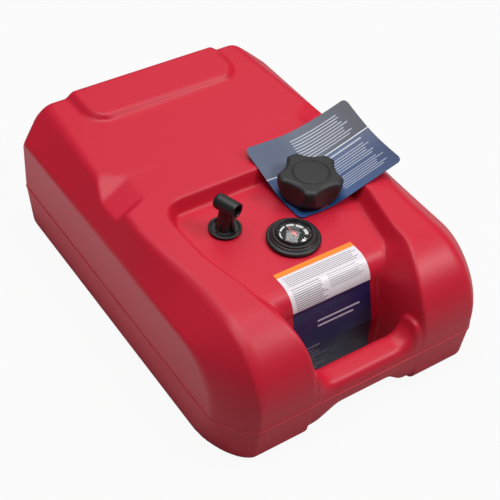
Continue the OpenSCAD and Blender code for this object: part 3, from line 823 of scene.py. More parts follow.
@dataclass(frozen=True)
class CardPrint(PrintedSheet):
    """Coated card round the filler: grey-blue above a thin white line, navy below it, with painted
    shading that darkens both fields across the card from its left.
    """

    name: str = "card_print"
    rough: float = 0.3
    grain_size: float = 0.0006
    rule_strength: float = 0.6
    blocks: tuple[RuleBlock, ...] = (
        RuleBlock(0.40, 0.90, 0.64, 0.93, 9.0, 0.34, 0.07, CARD_INK),
        RuleBlock(0.44, 0.90, 0.52, 0.555, 1.0, 0.55, 0.0, CARD_INK),
        RuleBlock(0.50, 0.92, 0.30, 0.49, 6.0, 0.34, 0.06, CARD_INK),
        RuleBlock(0.50, 0.94, 0.10, 0.27, 6.0, 0.34, 0.10, CARD_INK))
    line_at: float = 0.585
    line_half: float = 0.005

    def ground(self, s: Shader, u: Socket, v: Socket) -> Socket:
        """Two fields parted by the line, with painted shading that darkens them across the card.

        Args:
            s: Helper on the material's tree.
            u: Place across.
            v: Place along.

        Returns:
            The colour's socket.
        """
        low = s.blend(s.remap(v, 0.0, 0.6), srgb(44, 84, 140), srgb(58, 84, 130))
        # Painted shading: both fields are lightest at the card's left and darken across it to the
        # right.
        low = s.blend(s.remap(u, 0.3, 1.0, 0.0, 0.9), low, srgb(44, 60, 98))
        high = s.blend(s.remap(u, 0.25, 0.95), srgb(84, 94, 118), srgb(30, 32, 56))
        colour = s.blend(s.math("GREATER_THAN", v, self.line_at), low, high)
        off = s.math("ABSOLUTE", s.math("SUBTRACT", v, self.line_at))
        return s.blend(s.math("LESS_THAN", off, self.line_half), colour, srgb(232, 236, 242))


class Finish(Enum):
    """Named finishes of the tank's pieces."""

    TANK = MouldedPlastic("tank_red", srgb(204, 26, 52), srgb(210, 44, 64), rough=0.4,
                          specular=0.4, grain_size=0.0012, grain_depth=0.22, wear=0.3)
    CAP = MouldedPlastic("cap_black", srgb(38, 38, 38), srgb(62, 62, 62), rough=0.5,
                         grain_size=0.0007, grain_depth=0.3, wear=0.35)
    CORE = MouldedPlastic("core_black", srgb(44, 44, 46), srgb(66, 66, 68), rough=0.4,
                          grain_size=0.0009, grain_depth=0.12)
    FITTING = MouldedPlastic("fitting_black", srgb(30, 30, 31), srgb(58, 58, 60), rough=0.34,
                             grain_size=0.0008, grain_depth=0.14, wear=0.35)
    RUBBER = MouldedPlastic("seal_rubber", srgb(30, 30, 30), srgb(48, 48, 48), rough=0.7,
                            grain_size=0.0004, grain_depth=0.2, specular=0.35)
    ACETAL = MouldedPlastic("acetal_white", srgb(226, 224, 214), srgb(206, 202, 190), rough=0.38,
                            grain_depth=0.08, wear=0.3)
    TUBE = MouldedPlastic("tube_white", srgb(224, 224, 220), srgb(200, 198, 190), rough=0.42,
                          grain_depth=0.05, wear=0.35)
    FLOAT = MouldedPlastic("float_foam", srgb(46, 46, 48), srgb(72, 72, 74), rough=0.8,
                           grain_size=0.0016, grain_depth=0.5)
    DIAL = MouldedPlastic("dial_black", srgb(24, 24, 25), srgb(36, 36, 38), rough=0.55,
                          grain_size=0.004, grain_depth=0.03, wear=0.1)
    MARKS = MouldedPlastic("dial_white", srgb(238, 238, 236), srgb(220, 220, 216), rough=0.45,
                           grain_size=0.004, grain_depth=0.03, wear=0.1)
    POINTER = MouldedPlastic("pointer_red", srgb(214, 44, 38), srgb(190, 36, 32), rough=0.38,
                             grain_size=0.004, grain_depth=0.03, wear=0.1)
    STEEL = DrawnSteel("drawn_steel")
    WINDOW = ClearPlastic()
    LABEL = FrontPrint()
    CARD = CardPrint()


class Paint:
    """Materials made from the finishes, each once."""

    def __init__(self) -> None:
        """Build the shared groups."""
        self.groups = Groups()
        self.made: dict[Finish, bpy.types.Material] = {}

    def get(self, finish: Finish) -> bpy.types.Material:
        """Material of a finish, made on first use.

        Args:
            finish: The finish.

        Returns:
            Its material.
        """
        if finish not in self.made:
            self.made[finish] = finish.value.build(self.groups)
        return self.made[finish]

    def dress(self, obj: bpy.types.Object, finish: Finish) -> None:
        """Give an object one finish.

        Args:
            obj: Object that is dressed.
            finish: Its finish.
        """
        obj.data.materials.clear()
        obj.data.materials.append(self.get(finish))


@dataclass
class SubAssembly:
    """Pieces that are built together, ride on one body and report themselves."""

    paint: Paint

    def fit(self, obj: bpy.types.Object, finish: Finish, body: str, slot: str,
            replaced: Sequence[str] = ()) -> bpy.types.Object:
        """Dress a new piece and hand it to its body.

        Args:
            obj: New piece, in place.
            finish: Its finish.
            body: Body that it rides on.
            slot: The record's material slot; not used.
            replaced: CAD nodes that it stands for.

        Returns:
            The piece.
        """
        self.paint.dress(obj, finish)
        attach(obj, body)
        if replaced:
            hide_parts(*replaced)
        LOG.info("%s on %s: %d faces", obj.name, body, len(obj.data.polygons))
        return obj


# ------------------------------------------------------------------ the tank's shell


@dataclass
class TankShell(SubAssembly):
    """Blow-moulded shell: one loft across the width, its carrying bar, ports and neck.

    Distances s run back from the front wall, d inwards from a side wall, and z up.
    """

    length: float = 536.0
    width: float = 386.0
    top: float = 168.0
    seam: float = 56.0
    wall: float = 5.0
    deck_drop: float = 21.0
    chamfer_w: float = 28.0
    chamfer_drop: float = 37.0
    chamfer_flare_s: float = 260.0
    front_flare: float = 14.0
    front_flare_run: float = 130.0
    rear_flare: float = 16.0
    rear_flare_run: float = 262.0
    crease_soft: float = 7.0
    corner_run: float = 45.0
    corner_facet: float = 37.0
    corner_full: float = 5.0
    corner_edge_r: float = 4.0
    foot_corner_run: float = 76.0
    foot_corner_w: float = 40.0
    foot_corner_power: float = 1.7
    rear_corner_run: float = 18.0
    rear_corner_w: float = 30.0
    rear_corner_soft: float = 3.0
    lobe_r: float = 91.0
    lobe_wall_r: float = 68.0
    lobe_start_z: tuple[float, float] = (62.0, 77.0)
    pad_rise: float = 8.0
    pad_half: float = 114.0
    pad_depth: float = 80.0
    pad_bank: float = 10.0
    pad_corner_r: float = 38.0
    notch_depth: float = 17.0
    notch_reach: float = 60.0
    notch_apex: tuple[float, float] = (69.0, 349.0)
    notch_rear_lean: tuple[float, float] = (0.64, 1.08)
    notch_floor_turn: float = 0.11
    notch_front_slope: float = 1.2
    notch_front_turn: float = 0.46
    notch_front_corner: tuple[float, float] = (46.0, 63.0)
    front_draft: float = 11.0
    rear_draft: float = 15.0
    rear_lean: float = 2.0
    foot_r: float = 8.0
    foot_tuck: float = 4.0
    foot_lean: float = 1.5
    side_foot_r: float = 5.0
    edge_r: float = 3.5
    top_edge_r: float = 7.0
    bar_top: float = 75.0
    bar_bottom: float = 26.0
    bar_depth: float = 39.0
    finger_gap: float = 31.0
    hole_half: float = 74.0
    bar_fillet: float = 26.0
    bar_reach: float = 9.0
    bar_flat_half: float = 34.0
    bar_flare: float = 39.0
    bar_foot: float = 0.6
    bar_power: float = 3.2
    well_lean: float = 14.0
    well_bend_drop: float = 30.0
    well_wall_share: float = 0.4
    deck_front_run: float = 41.0
    waist_half: float = 100.0
    widest_s: float = 181.0
    deck_half: float = 118.0
    deck_taper: float = 2.0
    deck_back: float = 273.0
    ridge: float = 10.0
    deck_bank: float = 7.0
    deck_corner_r: float = 38.0
    neck_r: float = 27.0
    neck_bore: float = 22.5
    neck_h: float = 24.0
    neck_root: float = 3.5
    gauge_port_r: float = 25.5
    pickup_port_r: float = 8.0
    boss_drop: float = 11.0
    fitting_s: float = 224.5
    fitting_x: float = 62.5
    gauge_s: float = 168.0
    voxel: float = 2.0
    smoothing: int = 2
    most_triangles: int = 150000
    seam_bead: float = 1.0
    foot_steps: int = 24
    bend_steps: int = 5
    wall_steps: int = 12
    edge_steps: int = 7

    @property
    def deck(self) -> float:
        """Height of the fittings deck."""
        return self.top - self.deck_drop

    @property
    def well(self) -> float:
        """Distance of the hand hole's back wall."""
        return self.bar_depth + self.finger_gap

    @property
    def deck_front(self) -> float:
        """Distance at which the bend from the deck to the hand hole starts."""
        return self.well + self.deck_front_run

    @property
    def pad_front(self) -> float:
        """Distance of the pad's front edge."""
        return self.length - self.pad_depth

    def edge_half(self, s: Array) -> Array:
        """Half width of the hand hole, the deck or the pad at distance s.

        Straight runs between named places, with rounds at the deck's back corners and at the
        pad's front corners.

        Args:
            s: Distances behind the front wall.

        Returns:
            Half widths in millimetres.
        """
        narrow = self.deck_half - self.deck_taper
        widest = self.widest_s
        past = 3.0
        ridge_s = self.deck_back + self.ridge
        corner_s = ridge_s - self.deck_corner_r
        hole = mix(self.hole_half, self.waist_half, ease(s / self.deck_front))
        front = mix(self.waist_half, narrow, (s - self.deck_front) / (widest - self.deck_front))
        side = mix(narrow, self.deck_half, (s - widest) / (corner_s - widest))
        back = self.deck_half - round_off(ridge_s + past - s, self.deck_corner_r + past)
        flat = mix(self.deck_half - self.deck_corner_r, self.pad_half - self.pad_corner_r,
                   (s - ridge_s) / (self.pad_front - ridge_s))
        pad = self.pad_half - round_off(s - self.pad_front + 0.5, self.pad_corner_r)
        return np.select(
            [s < self.deck_front, s < widest, s < corner_s, s < ridge_s, s < self.pad_front],
            [hole, front, side, back, flat], pad)

    def notch_floor(self, d: Array, s: Array) -> Array:
        """Strap notch: a rear facet, a floor that falls to the side and a steep front facet.

        The highest of three planes through the notch's corners, with soft creases.

        Args:
            d: Distances in from the side wall.
            s: Distances behind the front wall.

        Returns:
            Heights in millimetres.
        """
        fall = self.notch_depth / self.notch_reach
        apex_d, apex_s = self.notch_apex
        lean_d, lean_s = self.notch_rear_lean
        back_d, back_s = self.notch_front_corner
        rear = fall * (lean_d * (d - apex_d) + lean_s * (s - apex_s))
        floor = fall * (d - apex_d + self.notch_floor_turn * (apex_s - s))
        crease = apex_s - back_s + self.notch_front_turn * (d - apex_d + back_d)
        front = self.notch_front_slope * (crease - s)
        return self.top + soft_max(soft_max(rear, floor, 0.8), front, 1.5)

    def side_top(self, d: Array, s: Array) -> Array:
        """Height of the top with its side chamfer, wider to the front and the back.

        Args:
            d: Distances in from the side wall.
            s: Distances behind the front wall.

        Returns:
            Heights in millimetres.
        """
        start = self.chamfer_flare_s
        behind = np.clip(s - start, 0.0, None)
        run = self.chamfer_w + np.where(
            s > start, self.rear_flare * (behind / self.rear_flare_run) ** 1.3,
            self.front_flare * ease((start - s) / self.front_flare_run))
        foot = self.top - self.chamfer_drop
        return soft_min(self.top, foot + self.chamfer_drop * d / run, self.crease_soft)

    def front_run(self, d: Array) -> Array:
        """Set-back of the front wall round the corner facet, a little full in its middle.

        Args:
            d: Distances in from the side wall.

        Returns:
            Set-backs in millimetres.
        """
        k = np.clip(d / self.corner_facet, 0.0, 1.0)
        return (self.corner_run * (1.0 - k) - self.corner_full * np.sin(np.pi * k)
                + 0.9 * round_off(d, self.corner_edge_r))

    def rear_run(self, d: Array) -> Array:
        """Set-back of the rear wall: a straight facet across the corner, with soft edges.

        Args:
            d: Distances in from the side wall.

        Returns:
            Set-backs in millimetres.
        """
        slope = self.rear_corner_run * (1.0 - d / self.rear_corner_w)
        soft = self.rear_corner_soft
        return soft_max(slope, 0.0 * d, soft) + 0.6 * round_off(d, soft)

    def foot_run(self, d: Array) -> Array:
        """Set-back of the front's foot: a fuller corner than the facet above it.

        A quarter of a superellipse whose axes are the corner's run and its width.

        Args:
            d: Distances in from the side wall.

        Returns:
            Set-backs in millimetres.
        """
        power = self.foot_corner_power
        t = np.clip(d / self.foot_corner_w, 0.0, 1.0)
        return self.foot_corner_run * (1.0 - (1.0 - (1.0 - t) ** power) ** (1.0 / power))

    def lobe_profile(self, d: Array, top_s: Array, arc: Array) -> Array:
        """Side outlines of the lobes and the flat top at distances d from the side wall.

        Foot, drafted front wall, one long arc over the lobe, the top with its notch, a round
        to the back wall and the foot again.

        Args:
            d: Distances in from the side wall, (n,).
            top_s: Distances along the top, (k,).
            arc: Angles of the lobe's arc, rising from 0 to a right angle.

        Returns:
            Distances and heights, (n, m, 2).
        """
        d = d[:, None]
        k = np.clip(d / self.side_run_front, 0.0, 1.0)
        drop = round_off(d, self.edge_r)
        s0 = self.front_run(d)
        s1 = self.length - self.rear_run(d)
        zt = self.side_top(d, 0.0 * d) - drop
        ze = self.side_top(d, 0.0 * d + self.length) - drop
        z1 = mix(*self.lobe_start_z, k)
        rs = mix(self.lobe_wall_r, self.lobe_r, k)
        zb = round_off(d, self.side_foot_r)
        sf = self.foot_run(d) + self.front_draft - self.foot_tuck
        sr = s1 - self.rear_draft
        rb = self.top_edge_r
        rf = self.foot_r
        lean = self.foot_lean
        sb = s1 - rb - self.rear_lean
        seam = self.seam * np.ones_like(d)
        foot = self._line(sr - rf, sf + rf, zb, zb, self.foot_steps)
        toe = self._bend(sf + rf, zb, sf, zb, sf - lean, zb + rf, self.bend_steps)
        low = self._line(sf - lean, s0, zb + rf, seam, self.wall_steps)
        sine = np.sin(arc)[None, :]
        bow = np.stack([s0 + rs * (1.0 - np.cos(arc)[None, :]), mix(z1, zt, sine)], axis=-1)
        least = 0.05
        count = len(top_s)
        order = np.arange(count)[None, :]
        s = np.maximum(top_s[None, :], s0 + rs + 1.0 + order * least)
        s = np.minimum(s, sb - least * (count - order))
        over = np.stack([s, soft_min(self.side_top(d, s), self.notch_floor(d, s), 2.0) - drop],
                        axis=-1)
        turn = np.linspace(0.0, RIGHT_ANGLE, self.edge_steps)[None, :]
        edge = np.stack([sb + rb * np.sin(turn), ze - rb * (1.0 - np.cos(turn))], axis=-1)
        high = self._line(sb + rb, s1, ze - rb, seam, self.wall_steps)
        back = self._line(s1, sr + lean, seam, zb + rf, self.wall_steps)
        heel = self._bend(sr + lean, zb + rf, sr, zb, sr - rf, zb, self.bend_steps)
        return np.concatenate([foot, toe, low, bow, over, edge, high, back, heel], axis=1)

    def middle_profile(self, top_s: Array, arc: Array) -> Array:
        """Side outline down the middle: hand hole's wall, deck, ridge, top and pad.

        Args:
            top_s: Distances along the top, (k,).
            arc: Angles of the bend from the wall to the deck.

        Returns:
            Distances and heights, (m, 2).
        """
        one = np.ones((1, 1))
        zero = 0.0 * one
        seam = self.seam * one
        zt = (self.top + self.pad_rise) * one
        sf = self.well * one
        s1 = self.length * one
        sr = s1 - self.rear_draft
        rb = self.top_edge_r
        rf = self.foot_r
        lean = self.foot_lean
        foot = self._line(sr - rf, sf + rf, zero, zero, self.foot_steps)
        toe = self._bend(sf + rf, zero, sf, zero, sf, rf * one, self.bend_steps)
        low = self._line(sf, sf, rf * one, seam, self.wall_steps)
        u = arc / RIGHT_ANGLE
        wall = self.well_wall_share
        w = np.clip(u / wall, 0.0, 1.0)
        a = RIGHT_ANGLE * np.clip((u - wall) / (1.0 - wall), 0.0, 1.0)
        reach = self.deck_front - self.well - self.well_lean
        up_wall = mix(self.seam + 8.0, self.deck - self.well_bend_drop, w)
        bow = np.stack([self.well + self.well_lean * w + reach * (1.0 - np.cos(a)),
                        mix(up_wall, self.deck, np.sin(a))], axis=-1)[None]
        over = np.stack([top_s, self.middle_top(top_s)], axis=-1)[None]
        turn = np.linspace(0.0, RIGHT_ANGLE, self.edge_steps)[None, :]
        edge = np.stack([s1 - rb - self.rear_lean + rb * np.sin(turn),
                         zt - rb * (1.0 - np.cos(turn))], axis=-1)
        high = self._line(s1 - self.rear_lean, s1, zt - rb, seam, self.wall_steps)
        back = self._line(s1, sr + lean, seam, rf * one, self.wall_steps)
        heel = self._bend(sr + lean, rf * one, sr, zero, sr - rf, zero, self.bend_steps)
        return np.concatenate([foot, toe, low, bow, over, edge, high, back, heel], axis=1)[0]

    def middle_top(self, s: Array) -> Array:
        """Height down the middle: deck, ridge, top and pad, joined by eased banks.

        Args:
            s: Distances behind the front wall.

        Returns:
            Heights in millimetres.
        """
        up = mix(self.deck, self.top, ease((s - self.deck_back) / self.ridge))
        return up + self.pad_rise * ease((s - self.pad_front) / self.pad_bank)

    @property
    def side_run_front(self) -> float:
        """Width of the side chamfer at the front."""
        return self.chamfer_w + self.front_flare

    @staticmethod
    def _line(s0: Array, s1: Array, z0: Array, z1: Array, count: int) -> Array:
        """Points of straight runs, without their last point.

        Args:
            s0: Distances of the starts, (n, 1).
            s1: Distances of the ends.
            z0: Heights of the starts.
            z1: Heights of the ends.
            count: Points in each run.

        Returns:
            Distances and heights, (n, count, 2).
        """
        t = np.linspace(0.0, 1.0, count, endpoint=False)[None, :]
        return np.stack(np.broadcast_arrays(mix(s0, s1, t), mix(z0, z1, t)), axis=-1)

    @staticmethod
    def _bend(s0: Array, z0: Array, s1: Array, z1: Array, s2: Array, z2: Array,
              count: int) -> Array:
        """Quadratic bends round the corner (s1, z1), without their last point.

        Args:
            s0: Distances of the starts, (n, 1).
            z0: Heights of the starts.
            s1: Distances of the corners.
            z1: Heights of the corners.
            s2: Distances of the ends.
            z2: Heights of the ends.
            count: Points in each bend.

        Returns:
            Distances and heights, (n, count, 2).
        """
        t = np.linspace(0.0, 1.0, count, endpoint=False)[None, :]
        s = (1 - t) ** 2 * s0 + 2 * (1 - t) * t * s1 + t * t * s2
        z = (1 - t) ** 2 * z0 + 2 * (1 - t) * t * z1 + t * t * z2
        return np.stack(np.broadcast_arrays(s, z), axis=-1)

    def skin_points(self) -> Array:
        """Rings of the outer skin from the right wall to the left wall.

        The rings near a wall are lobe outlines; inside the deck's edge they turn to the middle
        outline across an eased bank.

        Returns:
            Places in the part's frame, (n, m, 3).
        """
        half_w = self.width / 2.0
        arc = np.linspace(0.0, RIGHT_ANGLE, 44)[:-1]
        top_s = np.concatenate([
            np.linspace(self.deck_front + 1.5, 265.0, 44),
            np.linspace(268.0, 290.0, 16),
            np.linspace(293.0, self.pad_front - 3.0, 56),
            np.linspace(self.pad_front, self.pad_front + 24.0, 18),
            np.linspace(self.pad_front + 28.0, self.length - 12.0, 16)])
        near = np.array([0.0, 0.15, 0.5, 1.1, 2.0, 3.2, 4.6, 6.2, 8.0])
        side_d = np.concatenate([near, np.linspace(10.5, 66.0, 26)])
        innermost = np.array([70.0])
        lobes = self.lobe_profile(side_d, top_s, arc)
        inner = self.lobe_profile(innermost, top_s, arc)[0]
        middle = self.middle_profile(top_s, arc)
        before = self.foot_steps + self.bend_steps + self.wall_steps
        after = self.edge_steps + 2 * self.wall_steps + self.bend_steps
        half = np.concatenate([
            np.full(before, self.hole_half),
            self.edge_half(self.lobe_r * (1.0 - np.cos(arc)) * 1.1),
            self.edge_half(top_s), np.full(after, self.pad_half)])
        rows = [np.stack(np.broadcast_arrays((half_w - side_d)[:, None], lobes[..., 0],
                                             lobes[..., 1]), axis=-1)]
        bank = np.linspace(1.0, -1.0, 19)
        share = ease((1.0 - bank) / 2.0)[:, None]
        x = half[None, :] + self.deck_bank * bank[:, None]
        rows.append(np.stack([x, mix(inner[None, :, 0], middle[None, :, 0], share),
                              mix(inner[None, :, 1], middle[None, :, 1], share)], axis=-1))
        k = np.linspace(0.88, 0.0, 9)[:, None]
        x = (half - self.deck_bank)[None, :] * k
        rows.append(np.stack(np.broadcast_arrays(x, middle[None, :, 0], middle[None, :, 1]),
                             axis=-1))
        right = np.concatenate(rows)
        left = right[-2::-1] * np.array([-1.0, 1.0, 1.0])
        rings = np.concatenate([right, left])
        rings[..., 1] -= self.length / 2.0
        return closed_grid(rings)

    def bar_points(self) -> Array:
        """Carrying bar: superellipse sections swept across, flared where they meet the lobes.

        Returns:
            Places in the part's frame, (n, m, 3).
        """
        reach = self.hole_half + self.bar_reach
        x = np.linspace(-reach, reach, 70)[:, None]
        a = np.linspace(0.0, FULL_TURN, 72, endpoint=False)[None, :]
        off = np.clip(self.hole_half - 3.0 - np.abs(x), 0.0, None)
        flare = ease((np.abs(x) - self.bar_flat_half) / self.bar_flare)
        z1 = self.bar_top + round_off(off, self.bar_fillet)
        z0 = mix(self.bar_bottom, self.bar_foot, flare)
        power = 2.0 / self.bar_power
        up = np.sign(np.sin(a)) * np.abs(np.sin(a)) ** power
        out = np.sign(np.cos(a)) * np.abs(np.cos(a)) ** power
        z = (z0 + z1) / 2.0 + (z1 - z0) / 2.0 * up
        below = np.clip((self.seam - z) / (self.seam - self.foot_r), 0.0, 1.3)
        lean = (self.front_draft - self.foot_tuck - self.foot_lean) * below + 0.3
        y = (lean + self.bar_depth) / 2.0 + (self.bar_depth - lean) / 2.0 * out
        return closed_grid(np.stack(np.broadcast_arrays(x, y - self.length / 2.0, z), axis=-1))

    def cavity_points(self) -> Array:
        """Inside of the moulding: the skin's rings drawn in by the wall.

        Returns:
            Places in the part's frame, (n, m, 3).
        """
        inner = replace(
            self, width=self.width - 2.0 * self.wall, top=self.top - self.wall,
            hole_half=self.hole_half + self.wall, deck_half=self.deck_half + self.wall,
            pad_half=self.pad_half - self.wall, finger_gap=self.finger_gap + self.wall,
            deck_back=self.deck_back + self.wall)
        rings = inner.skin_points()[::2, ::2]
        y = rings[..., 1] + self.length / 2.0
        rings[..., 1] = mix(self.wall, self.length - self.wall, y / self.length)
        rings[..., 1] -= self.length / 2.0
        rings[..., 2] = np.maximum(rings[..., 2], self.wall)
        return rings

    def _solid(self, name: str, points: Array) -> bpy.types.Object:
        """Closed object from rings of points.

        Args:
            name: Name of the object.
            points: Places in the part's frame, (n, m, 3).

        Returns:
            The object.
        """
        mesh = mesh_from_grid(name, points, wrap_v=True)
        merge_and_point_out(mesh, 1e-5)
        return add_object(name, mesh)

    def _port(self, name: str, r: float, z0: float, z1: float, x: float, s: float,
              bore: float = 0.0, edge: float = 0.0) -> bpy.types.Object:
        """Disc or ring on a port's axis.

        Args:
            name: Name of the object.
            r: Outer radius.
            z0: Lower end.
            z1: Upper end.
            x: Place across.
            s: Place behind the front wall.
            bore: Inner radius, 0 for a disc.
            edge: Round of the upper outer edge.

        Returns:
            The closed object.
        """
        outline = rounded([(bore, z0), (r, z0), (r, z1), (bore, z1)], (0, 0, edge, 0), 5)
        return add_object(name, lathe(name, outline, (x, s - self.length / 2.0)))

    def parting_line(self, shell: bpy.types.Object) -> None:
        """Thin bead where the mould's halves met, all round the skin at one height.

        The skin is cut by a level plane, and the cut's loops are swept with a small round.

        Args:
            shell: The outer skin, before its inside is cut away.
        """
        work = bmesh.new()
        work.from_mesh(shell.data)
        cut = bmesh.ops.bisect_plane(
            work, geom=work.verts[:] + work.edges[:] + work.faces[:], dist=1e-7,
            plane_co=(0.0, 0.0, self.seam * MM), plane_no=(0.0, 0.0, 1.0),
            clear_inner=True, clear_outer=True)
        LOG.info("parting line: %d pieces of the cut", len(cut["geom_cut"]))
        bmesh.ops.delete(work, geom=work.faces[:], context="FACES_ONLY")
        # The bar's own back and the hand hole's walls carry no bead.
        hole = (self.hole_half + 3.0) * MM
        behind = (self.bar_depth / 2.0 - self.length / 2.0) * MM
        front = (self.well + 4.0 - self.length / 2.0) * MM
        bmesh.ops.delete(work, geom=[
            v for v in work.verts if abs(v.co.x) < hole and behind < v.co.y < front],
            context="VERTS")
        mesh = bpy.data.meshes.new("parting_line")
        work.to_mesh(mesh)
        work.free()
        bead = bpy.data.objects.new("parting_line", mesh)
        bpy.context.scene.collection.objects.link(bead)
        tree = bpy.data.node_groups.new("sweep_bead", "GeometryNodeTree")
        tree.interface.new_socket(name="Geometry", in_out="INPUT",
                                  socket_type="NodeSocketGeometry")
        tree.interface.new_socket(name="Geometry", in_out="OUTPUT",
                                  socket_type="NodeSocketGeometry")
        s = Shader(tree)
        route = s.node("GeometryNodeMeshToCurve", {
            "Mesh": s.node("NodeGroupInput").outputs[0]}).outputs[0]
        even = s.node("GeometryNodeResampleCurve", {"Curve": route})
        even.mode = "LENGTH"
        s.feed(even, {"Length": 4.0 * MM})
        ring = s.node("GeometryNodeCurvePrimitiveCircle", {
            "Resolution": 8, "Radius": self.seam_bead * MM})
        swept = s.node("GeometryNodeCurveToMesh", {
            "Curve": even.outputs[0], "Profile Curve": ring.outputs["Curve"]})
        s.node("NodeGroupOutput", {0: swept.outputs[0]})
        step = bead.modifiers.new("sweep", "NODES")
        step.node_group = tree
        apply_modifiers(bead)
        merge_and_point_out(bead.data)
        combine(shell, [bead], "UNION")

    def build(self) -> None:
        """Make the shell, its parting line, its ports and the filler's neck."""
        shell = self._solid("tank_moulding", self.skin_points())
        bar = self._solid("bar_core", self.bar_points())
        combine(shell, [bar], "UNION")
        remesh = shell.modifiers.new("even_out", "REMESH")
        remesh.mode = "VOXEL"
        remesh.voxel_size = self.voxel * MM
        remesh.use_smooth_shade = True
        relax = shell.modifiers.new("relax", "SMOOTH")
        relax.factor = 0.5
        relax.iterations = self.smoothing
        apply_modifiers(shell)
        self.parting_line(shell)
        thin = shell.modifiers.new("thin_out", "DECIMATE")
        thin.ratio = min(1.0, self.most_triangles / (2.0 * len(shell.data.polygons)))
        apply_modifiers(shell)
        combine(shell, [self._solid("cavity", self.cavity_points())], "DIFFERENCE")
        deck = self.deck
        low = deck - self.boss_drop
        past = 2.0
        x, s = self.fitting_x, self.fitting_s
        rough_bore = self.neck_bore - 1.0
        combine(shell, [
            self._port("neck", self.neck_r, low, deck + self.neck_h, x, s, rough_bore, 1.5),
            self._port("neck_root", self.neck_r + self.neck_root, deck - 3.0, deck + past, x, s,
                       rough_bore, 1.5)], "UNION")
        combine(shell, [
            self._port("neck_cut", self.neck_bore, low - past, deck + self.neck_h + past, x, s),
            self._port("gauge_cut", self.gauge_port_r, low, deck + past, 0.0, self.gauge_s),
            self._port("pickup_cut", self.pickup_port_r, low, deck + past, -x, s)],
            "DIFFERENCE")
        shell.data.polygons.foreach_set("use_smooth", np.ones(len(shell.data.polygons), bool))
        shell.data.set_sharp_from_angle(angle=math.radians(42.0))
        self.fit(shell, Finish.TANK, "tank", "tank_plastic", ["tank_shell"])


# ------------------------------------------------------------------ printed sheets


